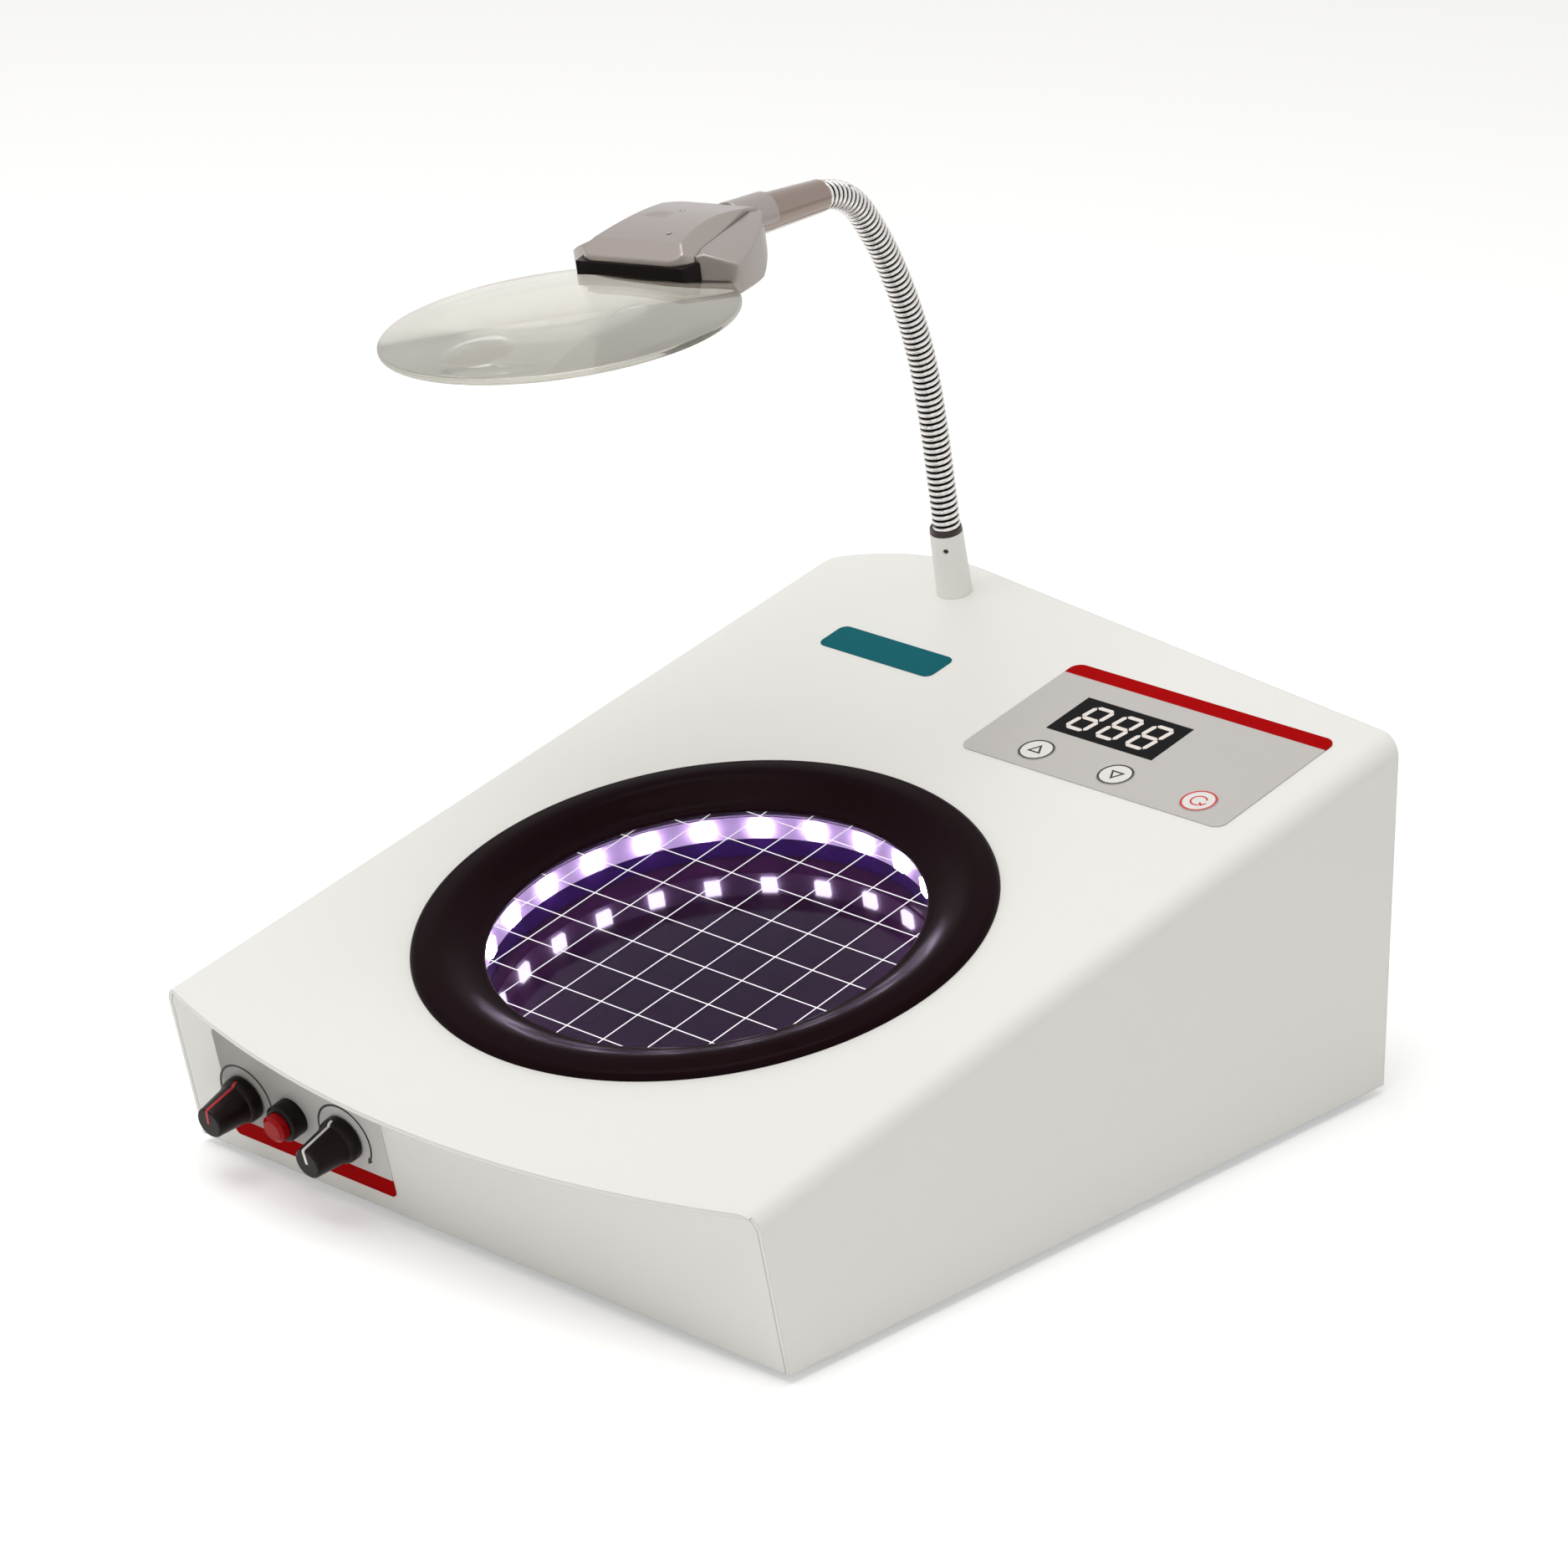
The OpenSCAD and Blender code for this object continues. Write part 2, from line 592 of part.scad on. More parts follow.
module right_shaft() color([0.8, 0.8, 0.82]) on_front(knob_right_x, control_v) control_shaft();
// Outline of a knob, grown by e: skirt, round shoulder, long taper and eased tip.
function knob_outline(e) = let (shoulder = 4.2, neck = knob_tip_r + (knob_r - knob_tip_r) * 0.55)
    concat([[0, 0], [knob_r + e, 0], [knob_r + e, 1.6]],
        [for (a = [15:15:90]) [neck + e + (knob_r - neck) * cos(a), 1.6 + (shoulder - 1.6) * sin(a)]],
        [for (a = [0:30:90]) [knob_tip_r - 0.8 + e + 0.8 * cos(a), knob_l - 0.8 + 0.8 * sin(a) + e]],
        [[0, knob_l + e]]);
module knob_form(e) { rotate_extrude() polygon(knob_outline(e)); }
pointer_w = 1.1;
pointer_sink = 0.5;
pointer_proud = 0.1;
module pointer_slab(w) {
    translate([-w / 2, 0, 2.4]) cube([w, 2 * knob_r, 2 * knob_l]);
}
module knob(turn) rotate([0, 0, turn]) translate([0, 0, label_t + knob_lift]) difference() {
    knob_form(0);
    translate([0, 0, -drill_over]) cylinder(h = knob_cave_h - knob_lift + drill_over, r = 6);
    cylinder(h = knob_cave_h - knob_lift + knob_bore_l, r = shaft_r);
    difference() { pointer_slab(pointer_w); knob_form(-pointer_sink); }
}
module pointer(turn) rotate([0, 0, turn]) translate([0, 0, label_t + knob_lift]) difference() {
    intersection() { pointer_slab(pointer_w); knob_form(pointer_proud); }
    knob_form(-pointer_sink);
}
module left_knob() color([0.06, 0.04, 0.05]) on_front(knob_left_x, control_v) knob(pointer_left_turn);
module right_knob() color([0.06, 0.04, 0.05]) on_front(knob_right_x, control_v) knob(pointer_right_turn);
module left_pointer() color([0.65, 0.02, 0.04]) on_front(knob_left_x, control_v)
    pointer(pointer_left_turn);
module right_pointer() color([0.9, 0.88, 0.87]) on_front(knob_right_x, control_v)
    pointer(pointer_right_turn);
button_thread_r = 5.4;
button_thread_l = 8;
button_stem_r = 2;
module button_collar() color([0.06, 0.04, 0.05]) on_front(button_x, control_v) difference() {
    union() {
        translate([0, 0, label_t]) cylinder(h = button_collar_h - 0.8, r = button_collar_r);
        translate([0, 0, label_t + button_collar_h - 0.8])
            cylinder(h = 0.8, r1 = button_collar_r, r2 = button_collar_r - 0.8);
        translate([0, 0, -button_thread_l]) cylinder(h = button_thread_l + label_t, r = button_thread_r);
    }
    translate([0, 0, label_t]) cylinder(h = far, r = button_cap_r + fit);
    translate([0, 0, -button_thread_l - drill_over]) cylinder(h = far, r = button_stem_r + fit);
}
module button_nut() color([0.75, 0.75, 0.77]) on_front(button_x, control_v, -sheet_t - 2.5)
    hex_nut(7.5, button_thread_r, 2.5);
module button_switch() color([0.12, 0.12, 0.12]) on_front(button_x, control_v, -button_thread_l)
    difference() {
        translate([-6, -6, -12]) cube([12, 12, 12]);
        translate([0, 0, -5]) cylinder(h = 6, r = button_stem_r + fit);
    }
module button_cap() color([0.7, 0, 0.02]) on_front(button_x, control_v) {
    cap_foot = label_t + button_travel + 0.3;
    cap_end = label_t + button_collar_h + button_cap_h;
    translate([0, 0, cap_foot]) cylinder(h = cap_end - 1 - cap_foot, r = button_cap_r);
    translate([0, 0, cap_end - 1]) cylinder(h = 1, r1 = button_cap_r, r2 = button_cap_r - 1.2);
    translate([0, 0, -button_thread_l - 1])
        cylinder(h = button_thread_l + 2 + cap_foot, r = button_stem_r);
}

// ---- electronics -----------------------------------------------------------------------
main_l = 90;
main_z = 12;
main_x = -20;
main_y = -95;
main_w = inner_w / 2 - flange_w - 2 - main_x;   // up to the right wall's flange
main_post_in = 8;
main_post_at = [for (x = [main_post_in, main_w - main_post_in],
    y = [main_post_in, main_l - main_post_in]) [main_x + x, main_y + y]];
module main_board() color([0.05, 0.35, 0.15]) difference() {
    translate([main_x, main_y, main_z]) cube([main_w, main_l, board_t]);
    for (p = main_post_at) translate([p[0], p[1], main_z - drill_over])
        cylinder(h = board_t + 2 * drill_over, r = screw_r + screw_clear);
}
module main_board_posts() color([0.8, 0.8, 0.82])
    for (p = main_post_at) translate([p[0], p[1], sheet_t]) difference() {
        cylinder(h = main_z - sheet_t, r = 3);
        translate([0, 0, main_z - sheet_t - screw_l + board_t])
            cylinder(h = screw_l, r = screw_r);
    }
module buzzer() color([0.05, 0.05, 0.05])
    translate([main_x + main_w - 28, main_y + 24, main_z + board_t]) difference() {
        cylinder(h = 8.5, r = 7);
        translate([0, 0, 6]) cylinder(h = 6, r = 1.2);
    }
jack_r = 4;
module power_jack() color([0.05, 0.05, 0.05]) on_rear(jack_x, jack_z) difference() {
    union() {
        cylinder(h = 2, r = 5.5);
        translate([0, 0, -14]) cylinder(h = 14, r = jack_r);
    }
    difference() {
        translate([0, 0, -9]) cylinder(h = far, r = 2.8);
        translate([0, 0, -10]) cylinder(h = 9, r = 1);
    }
}
module jack_nut() color([0.75, 0.75, 0.77])
    on_rear(jack_x, jack_z) translate([0, 0, -sheet_t - 2]) hex_nut(5.5, jack_r, 2);

// ---- gooseneck -------------------------------------------------------------------------
stud_r = 4;
stud_l = 12;
module on_neck_foot(h = 0) { on_top(neck_x, neck_u, h) children(); }
set_screw_h = collar_h - 5;
set_screw_r = 0.9;
set_screw_in = 1.5;
set_screw_turn = 33;
module neck_collar() color([0.83, 0.825, 0.8]) on_neck_foot() difference() {
    union() {
        cylinder(h = collar_h, r1 = collar_r, r2 = collar_r - 0.5);
        translate([0, 0, -stud_l]) cylinder(h = stud_l, r = stud_r);
    }
    translate([0, 0, set_screw_h]) rotate([90, 0, set_screw_turn])
        translate([0, 0, set_screw_in]) cylinder(h = 2 * collar_r, r = set_screw_r);
}
module set_screw() color([0.12, 0.12, 0.13]) on_neck_foot(set_screw_h)
    rotate([90, 0, set_screw_turn]) translate([0, 0, set_screw_in])
        cylinder(h = collar_r - 1.2 - set_screw_in, r = set_screw_r);
module neck_nut() color([0.75, 0.75, 0.77]) on_neck_foot(-sheet_t - 4) hex_nut(6.5, stud_r, 4);
grommet_h = 1.8;
module neck_grommet() color([0.16, 0.12, 0.11]) on_neck_foot(collar_h)
    cylinder(h = grommet_h, r1 = collar_r - 0.55, r2 = collar_r - 0.75);

// The gooseneck's centreline lies in one upright plane. It is a chain of arcs: each stretch
// starts where the last one ends and turns by its own angle towards the front.
stretch_l = 26.1;
stretch_turn = [0.6, 3.4, 9.1, 8, 9.5, 46];
stretches = len(stretch_turn);
neck_foot = [0, front_y, front_h] + [neck_x, neck_u * cos(slope), neck_u * sin(slope)];
neck_start_h = collar_h + grommet_h + 0.5;
function heading(i) = i == 0 ? slope : heading(i - 1) + stretch_turn[i - 1];
function arc_r(i) = stretch_l / (stretch_turn[i] * PI / 180);
// End point of a stretch, as distance forwards and height from the gooseneck's foot.
function joint_at(i) = i == 0
    ? neck_start_h * [sin(slope), cos(slope)]
    : joint_at(i - 1) + arc_r(i - 1) * [cos(heading(i - 1)) - cos(heading(i)),
        sin(heading(i)) - sin(heading(i - 1))];
module on_arm() { translate(neck_foot) rotate([0, 0, arm_turn]) children(); }
module on_joint(i) {
    on_arm() translate([0, -joint_at(i)[0], joint_at(i)[1]]) rotate([heading(i), 0, 0]) children();
}
core_r = neck_r - 2 * wire_r - fit;
// One stretch: a steel core bent to an arc and a row of wire turns round it.
module stretch(i) on_joint(i) {
    r = arc_r(i);
    turn = stretch_turn[i];
    gap_turn = turn * stretch_gap / 2 / stretch_l;
    first = wire_r + stretch_gap / 2;
    pitch = (stretch_l - 2 * first) / (turns - 1);
    translate([0, -r, 0]) rotate([gap_turn, 0, 0]) rotate([90, 0, 90])
        rotate_extrude(angle = turn - 2 * gap_turn, $fn = 48) translate([r, 0])
            circle(core_r, $fn = 24);
    for (k = [0:turns - 1]) {
        a = turn * (first + k * pitch) / stretch_l;
        translate([0, -r, 0]) rotate([a, 0, 0]) translate([0, r, 0])
            rotate_extrude($fn = 32) translate([neck_r - wire_r, 0]) circle(wire_r, $fn = 16);
    }
}
module neck_1() color([0.7, 0.7, 0.72]) stretch(0);
module neck_2() color([0.7, 0.7, 0.72]) stretch(1);
module neck_3() color([0.7, 0.7, 0.72]) stretch(2);
module neck_4() color([0.7, 0.7, 0.72]) stretch(3);
module neck_5() color([0.7, 0.7, 0.72]) stretch(4);
module neck_6() color([0.7, 0.7, 0.72]) stretch(5);

// ---- magnifier -------------------------------------------------------------------------
// The lens's frame: Y to the back along the head, Z out of the lens's upper face.
lens_ahead = 208.5;
lens_up = 142;
lens_pitch = 4.5;       // the lens falls away to the front by this angle
lens_roll = -6.2;       // and its right side stands up by this one
module on_lens() {
    on_arm() translate([0, -lens_ahead, lens_up]) rotate([lens_pitch, lens_roll, 0]) children();
}
sleeve_in = 12;         // the sleeve's length inside the head
// The sleeve: a long cone, then a plain end inside the head.
module sleeve_form(e, reach) {
    cylinder(h = sleeve_l + e, r1 = sleeve_r + e, r2 = sleeve_wide_r + e);
    translate([0, 0, sleeve_l]) cylinder(h = sleeve_in + reach, r = sleeve_wide_r + e);
}
module neck_sleeve() color([0.75, 0.73, 0.72]) on_joint(stretches) sleeve_form(0, 0);
lens_face_d = lens_face_r - sqrt(pow(lens_face_r, 2) - pow(lens_r, 2));
module lens_form(grow) intersection() {
    cylinder(h = 2 * far, r = lens_r + grow, center = true, $fn = 180);
    translate([0, 0, lens_edge_t / 2 + grow + lens_face_d - lens_face_r])
        sphere(lens_face_r, $fn = 360);
    translate([0, 0, -lens_edge_t / 2 - grow - lens_face_d + lens_face_r])
        sphere(lens_face_r, $fn = 360);
}
// The lens, with a small stronger button lens moulded into it near the front edge.
button_at = 38;
button_r = 9.5;
button_rise = 1.2;
button_face_r = (pow(button_r, 2) + pow(button_rise, 2)) / (2 * button_rise);
module lens() color([0.93, 0.94, 0.9, 0.3]) on_lens() {
    face_h = lens_edge_t / 2 + lens_face_d - lens_face_r
        + sqrt(pow(lens_face_r, 2) - pow(button_at, 2));
    union() {
        lens_form(0);
        intersection() {
            translate([0, -button_at, face_h + button_rise - button_face_r])
                sphere(button_face_r, $fn = 96);
            translate([0, -button_at, 0]) cylinder(h = far, r = button_r + 1.5);
        }
    }
}

// The head's body. Seen from above its flanks and its front are arcs; seen from behind it is
// domed over a shallow keel; seen from the side it rises from the jaw and falls to the collar.
flank_r = 80;
flank_in = flank_r - head_half_w;
flank_back = -3;        // where the body is widest, from its front edge
nose_r = 51;
shoulder_r = 65;
back_r = 80;            // side view of the body's top
crest_at = 24.5;
keel_side_r = 100;
keel_at = 10;
keel_edge = 4;          // rise of the keel out to its sides
jaw_h = 7.6;            // height of the seat under the upper shell
front_slope_l = 16;
front_slope_h = 6;
body_drop = 1.2;          // of the body's crest below the upper shell's
cap_half_w = 21.3;
cap_l = 47;
cap_front_h = 2;        // upright part of the upper shell's edge
cap_bevel = 5.5;
cap_side_bevel = 7;
cap_corner_r = 7;
cap_back_r = 80;
cap_crest_at = 24.5;
cap_back = head_front + cap_l;
module head_body() {
    top = head_top - body_drop;
    keel_r = (pow(head_half_w, 2) + pow(keel_edge, 2)) / (2 * keel_edge);
    intersection() {
        // from above
        translate([0, 0, -far / 2]) linear_extrude(far) intersection() {
            translate([-flank_in, head_front + flank_back]) circle(flank_r, $fn = 180);
            translate([flank_in, head_front + flank_back]) circle(flank_r, $fn = 180);
            translate([0, head_front + 1 + nose_r]) circle(nose_r, $fn = 180);
        }
        // from behind
        translate([0, far, 0]) rotate([90, 0, 0]) linear_extrude(2 * far) intersection() {
            translate([0, top - shoulder_r]) circle(shoulder_r, $fn = 180);
            translate([0, keel_r - head_bottom]) circle(keel_r, $fn = 180);
        }
        // from the side
        across(2 * far) intersection() {
            translate([head_front + keel_at, keel_side_r - head_bottom])
                circle(keel_side_r, $fn = 180);
            translate([head_front + crest_at, top - back_r]) circle(back_r, $fn = 180);
            polygon([[0, -far], [head_front, jaw_h], [head_front + front_slope_l,
                jaw_h + front_slope_h], [head_front + front_slope_l, far], [far, far],
                [far, -far]]);
        }
    }
}
// The upper shell: a bevelled lid with rounded corners on the middle of the body.
module cap_plan(e) {
    w = cap_half_w + e;
    narrow = cap_half_w - cap_corner_r + e;
    union() {
        translate([-narrow, head_front - e]) square([2 * narrow, cap_corner_r + 1]);
        for (s = [-1, 1]) translate([s * (cap_half_w - cap_corner_r), head_front + cap_corner_r])
            circle(cap_corner_r + e);
        polygon([[-w, head_front + cap_corner_r], [w, head_front + cap_corner_r],
            [narrow, cap_back + e], [-narrow, cap_back + e]]);
    }
}
saddle_drop = 1.5;      // how far the saddle's edges reach below the sleeve's middle
module head_lower() color([0.68, 0.66, 0.66]) difference() {
    union() {
        on_lens() head_body();
        on_joint(stretches) difference() {
            translate([0, 0, sleeve_l]) cylinder(h = saddle_l, r = head_collar_r);
            translate([-far, -far - saddle_drop, 0]) cube([2 * far, far, far]);
        }
    }
    on_lens() {
        translate([0, 0, jaw_h]) linear_extrude(far) cap_plan(fit);
        jaw_form(fit);
        lens_form(fit);
    }
    on_joint(stretches) sleeve_form(fit, fit);
}
module cap_form() intersection() {
    edge_h = jaw_h + cap_front_h;
    translate([0, 0, jaw_h]) linear_extrude(far) cap_plan(0);
    // from the side: an upright edge, a bevel and a long crown
    across(2 * far) intersection() {
        translate([head_front + cap_crest_at, head_top - cap_back_r])
            circle(cap_back_r, $fn = 240);
        polygon([[0, jaw_h - 1], [head_front, jaw_h - 1], [head_front, edge_h],
            [head_front + 2 * cap_bevel, edge_h + 2 * (head_top - edge_h - 2.3)],
            [head_front + 2 * cap_bevel, far], [far, far], [far, jaw_h - 1]]);
    }
    // from behind: a bevel on both sides
    translate([0, far, 0]) rotate([90, 0, 0]) linear_extrude(2 * far)
        polygon([[-cap_half_w, jaw_h - 1], [-cap_half_w, edge_h],
            [-cap_half_w + cap_side_bevel, head_top], [cap_half_w - cap_side_bevel, head_top],
            [cap_half_w, edge_h], [cap_half_w, jaw_h - 1]]);
}
head_screw_at = [[-0.8, 29.5], [8.4, 10.7]];
head_screw_r = 0.9;
head_screw_sunk = 0.5;
thumb_at = [-5, 22];
thumb_r = 16;
thumb_depth = 1;
module head_upper() color([0.72, 0.7, 0.7]) on_lens() difference() {
    cap_form();
    for (p = head_screw_at) translate([p[0], head_front + p[1], 0])
        cylinder(h = far, r = head_screw_r);
    // thumb recess
    intersection() {
        translate([thumb_at[0], head_front + thumb_at[1], head_top + thumb_r - thumb_depth])
            sphere(thumb_r);
        translate([-far, head_front + thumb_at[1], 0]) cube(2 * far);
    }
}
// Height of the upper shell's crown, a given distance behind its front edge.
function cap_h_at(a) = head_top - cap_back_r + sqrt(pow(cap_back_r, 2) - pow(a - cap_crest_at, 2));
module head_screws() color([0.25, 0.24, 0.25]) on_lens()
    for (p = head_screw_at) translate([p[0], head_front + p[1], jaw_h])
        cylinder(h = cap_h_at(p[1]) - head_screw_sunk - jaw_h, r = head_screw_r);
// The jaw that clamps the lens: a bar with pointed ends under the upper shell.
jaw_proud = 0.5;
jaw_end_in = 0.5;
jaw_point = 1.2;
jaw_point_at = 6;
jaw_l = 10;
jaw_back_in = 4;
jaw_foot = 1;
module jaw_form(e) {
    half = [[cap_half_w - jaw_end_in + e, head_front - jaw_proud - e],
        [cap_half_w + jaw_point + e, head_front + jaw_point_at],
        [cap_half_w - jaw_back_in + e, head_front + jaw_l + e]];
    linear_extrude(jaw_h + e)
        polygon(concat(half, [for (i = [2:-1:0]) [-half[i][0], half[i][1]]]));
}
module lens_clamp() color([0.1, 0.06, 0.06]) on_lens() difference() {
    jaw_form(0);
    lens_form(fit);
    translate([-far, -far, -far]) cube([2 * far, 2 * far, far + jaw_foot]);
}

top_cover();
front_panel();
rear_panel();
base_plate();
rubber_feet();
screws();
bezel_ring();
glass_gasket();
grid_glass();
light_chamber();
background_disc();
led_strip();
leds();
keypad_label();
keypad_stripe();
display_window();
display_digits();
display_module();
display_board();
board_posts();
key_switches();
key_up();
key_down();
key_reset();
front_label();
front_stripe();
left_control();
right_control();
control_nuts();
left_shaft();
right_shaft();
left_knob();
right_knob();
left_pointer();
right_pointer();
button_collar();
button_nut();
button_switch();
button_cap();
main_board();
main_board_posts();
buzzer();
power_jack();
jack_nut();
neck_collar();
set_screw();
neck_nut();
neck_grommet();
neck_1();
neck_2();
neck_3();
neck_4();
neck_5();
neck_6();
neck_sleeve();
head_lower();
head_upper();
head_screws();
lens_clamp();
lens();
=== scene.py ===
import math

import bpy
import numpy as np
from mathutils import Matrix


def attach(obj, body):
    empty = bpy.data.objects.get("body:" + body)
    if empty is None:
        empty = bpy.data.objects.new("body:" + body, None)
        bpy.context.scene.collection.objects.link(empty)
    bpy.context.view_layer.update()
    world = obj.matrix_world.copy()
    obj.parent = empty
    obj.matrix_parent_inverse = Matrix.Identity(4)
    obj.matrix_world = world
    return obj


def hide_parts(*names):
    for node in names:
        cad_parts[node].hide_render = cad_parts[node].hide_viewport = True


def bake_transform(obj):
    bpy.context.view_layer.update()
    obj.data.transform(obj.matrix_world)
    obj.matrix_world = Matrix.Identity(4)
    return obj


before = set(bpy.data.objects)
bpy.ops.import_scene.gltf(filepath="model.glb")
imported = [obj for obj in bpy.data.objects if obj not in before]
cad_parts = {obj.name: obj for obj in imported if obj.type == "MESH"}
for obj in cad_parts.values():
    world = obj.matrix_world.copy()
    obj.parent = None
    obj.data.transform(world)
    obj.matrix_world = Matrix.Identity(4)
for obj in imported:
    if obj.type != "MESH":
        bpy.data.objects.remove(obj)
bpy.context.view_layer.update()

# ---------------------------------------------------------------- casing
# The casing is folded steel sheet: one sheet makes the top and both sides, others close the
# front and the rear. It is powder coated, which leaves a satin skin with faint orange peel and
# soft, slightly rounded edges.
FRONT_Y, FRONT_H = -0.156, 0.0555  # the edge where the top starts
RISE, RUN = 0.064, 0.298  # the top climbs this much over this length
SLOPE = math.atan2(RISE, RUN)
SOFT_EDGE = 0.0006  # radius of a coated or moulded edge


def on_top(x, u, h):
    """A point of the sloped top: x across, u up the slope, h out of it, all in metres."""
    x, u, h = np.broadcast_arrays(x, u, h)
    return np.stack([x, FRONT_Y + u * math.cos(SLOPE) - h * math.sin(SLOPE),
                     FRONT_H + u * math.sin(SLOPE) + h * math.cos(SLOPE)], -1)


def linear(code):
    """The linear colour of an sRGB hex code."""
    c = np.array([int(code[i:i + 2], 16) for i in (0, 2, 4)]) / 255
    c = np.where(c <= 0.04045, c / 12.92, ((c + 0.055) / 1.055) ** 2.4)
    return (*c.tolist(), 1.0)


def add(tree, kind, values=None, links=None, **settings):
    """Adds one node with its settings, its socket values and its incoming links."""
    made = tree.nodes.new(kind)
    for key, value in settings.items():
        setattr(made, key, value)
    for key, value in (values or {}).items():
        made.inputs[key].default_value = value
    for key, source in (links or {}).items():
        tree.links.new(source, made.inputs[key])
    return made


def begin(name, code, roughness, **sockets):
    """A new material: its node tree and its shader, with constants on the shader's sockets."""
    made = bpy.data.materials.new(name)
    made.use_nodes = True
    shader = made.node_tree.nodes["Principled BSDF"]
    shader.inputs["Base Color"].default_value = linear(code)
    shader.inputs["Roughness"].default_value = roughness
    for key, value in sockets.items():
        shader.inputs[key.replace("_", " ")].default_value = value
    return made, made.node_tree, shader


def dress(made, *nodes):
    """Gives CAD nodes a material."""
    for name in nodes:
        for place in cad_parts[name].material_slots:
            place.material = made


def powder_coat(name, code):
    """Powder coat: peel of about 1.5 mm, drawn coarser than it is so that it shows at all."""
    made, tree, shader = begin(name, code, 0.42)
    where = add(tree, "ShaderNodeTexCoord")
    edge = add(tree, "ShaderNodeBevel", {"Radius": SOFT_EDGE}, samples=6)
    peel = add(tree, "ShaderNodeTexNoise", {"Scale": 650.0, "Detail": 2.0},
               {"Vector": where.outputs["Object"]})
    bump = add(tree, "ShaderNodeBump", {"Strength": 0.06, "Distance": 0.0002},
               {"Height": peel.outputs["Fac"], "Normal": edge.outputs["Normal"]})
    tree.links.new(bump.outputs["Normal"], shader.inputs["Normal"])
    cloud = add(tree, "ShaderNodeTexNoise", {"Scale": 9.0, "Detail": 1.0},
                {"Vector": where.outputs["Object"]})
    gloss = add(tree, "ShaderNodeMapRange", {"To Min": 0.38, "To Max": 0.46},
                {"Value": cloud.outputs["Fac"]})
    tree.links.new(gloss.outputs["Result"], shader.inputs["Roughness"])
    return made


dress(powder_coat("white powder coat", "ecebe7"), "top_cover", "front_panel", "rear_panel")

# the base, the screws and the nuts are zinc plated, which leaves a dull, cloudy grey
zinc, tree, shader = begin("zinc plated steel", "b9babd", 0.4, Metallic=1.0)
where = add(tree, "ShaderNodeTexCoord")
grain = add(tree, "ShaderNodeTexNoise", {"Scale": 220.0}, {"Vector": where.outputs["Object"]})
spread = add(tree, "ShaderNodeMapRange", {"To Min": 0.3, "To Max": 0.5},
             {"Value": grain.outputs["Fac"]})
tree.links.new(spread.outputs["Result"], shader.inputs["Roughness"])
dress(zinc, "base_plate", "screws", "board_posts", "main_board_posts", "control_nuts",
      "button_nut", "jack_nut", "neck_nut", "left_shaft", "right_shaft", "left_control",
      "right_control")

# ---------------------------------------------------------------- feet and gasket
# The feet are moulded black rubber discs, each held by a screw. Moulded rubber is dull, with a
# fine even grain. The gasket between the glass and its seat is a soft pale ring of silicone.
rubber, tree, shader = begin("moulded rubber", "161616", 0.75)
where = add(tree, "ShaderNodeTexCoord")
grain = add(tree, "ShaderNodeTexNoise", {"Scale": 1800.0}, {"Vector": where.outputs["Object"]})
bump = add(tree, "ShaderNodeBump", {"Strength": 0.2, "Distance": 0.0001},
           {"Height": grain.outputs["Fac"]})
tree.links.new(bump.outputs["Normal"], shader.inputs["Normal"])
dress(rubber, "rubber_feet")

silicone, tree, shader = begin("pale silicone", "c2b2cc", 0.4)
dress(silicone, "glass_gasket")

# ---------------------------------------------------------------- bezel ring
# The bezel is a moulded ring of glossy ABS, near black with a brown cast. Its face is crowned
# and it falls in a broad smooth slope to the glass, where a lip holds the glass down. A low
# specular level keeps it, like the other near blacks and reds, deep in a wide pale room.
gloss_abs, tree, shader = begin("glossy brown-black ABS", "1a0c10", 0.3, Specular_IOR_Level=0.01,
                                Coat_Weight=0.015, Coat_Roughness=0.1)
where = add(tree, "ShaderNodeTexCoord")
edge = add(tree, "ShaderNodeBevel", {"Radius": SOFT_EDGE}, samples=6)
flow = add(tree, "ShaderNodeTexNoise", {"Scale": 60.0, "Detail": 1.0},
           {"Vector": where.outputs["Object"]})
bump = add(tree, "ShaderNodeBump", {"Strength": 0.04, "Distance": 0.0004},
           {"Height": flow.outputs["Fac"], "Normal": edge.outputs["Normal"]})
tree.links.new(bump.outputs["Normal"], shader.inputs["Normal"])
RING_U = 0.114  # the stage's middle, up the slope
RIM_R, RIM_EDGE = 0.0894, 0.0026  # the outer rim and its rounding
CROWN_R, CROWN_H = 0.084, 0.0032  # the top of the crown
WINDOW_R, FALL = 0.0693, 0.006  # the window's edge and the drop to it
LIP_R, LIP_UP, LIP_H, LIP_END = 0.069, -0.0031, -0.00395, 0.0742  # the lip on the glass
UNDERSIDE = (0.08, -0.0035), (0.0806, 0.0001), (0.0916, 0.0001)  # the spigot and the flange
BEZEL_STEPS = 192


def piece(name, verts, faces, made, body=None, smooth=True):
    """A mesh object at the origin with one material, riding on a body."""
    mesh = bpy.data.meshes.new(name)
    mesh.from_pydata(np.asarray(verts).reshape(-1, 3).tolist(), [], faces)
    mesh.polygons.foreach_set("use_smooth", np.full(len(mesh.polygons), smooth))
    mesh.materials.append(made)
    mesh.update()
    made_object = bpy.data.objects.new(name, mesh)
    bpy.context.scene.collection.objects.link(made_object)
    if body:
        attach(made_object, body)
    return made_object


def quads(nu, nv, wrap_u=False, wrap_v=False, start=0):
    """The faces of a grid of nu by nv points, joined end to end where it wraps."""
    i, j = np.meshgrid(np.arange(nu if wrap_u else nu - 1), np.arange(nv if wrap_v else nv - 1),
                       indexing="ij")
    i, j = i.ravel(), j.ravel()
    a, b = (i + 1) % nu, (j + 1) % nv
    return (np.stack([i * nv + j, a * nv + j, a * nv + b, i * nv + b], -1) + start).tolist()


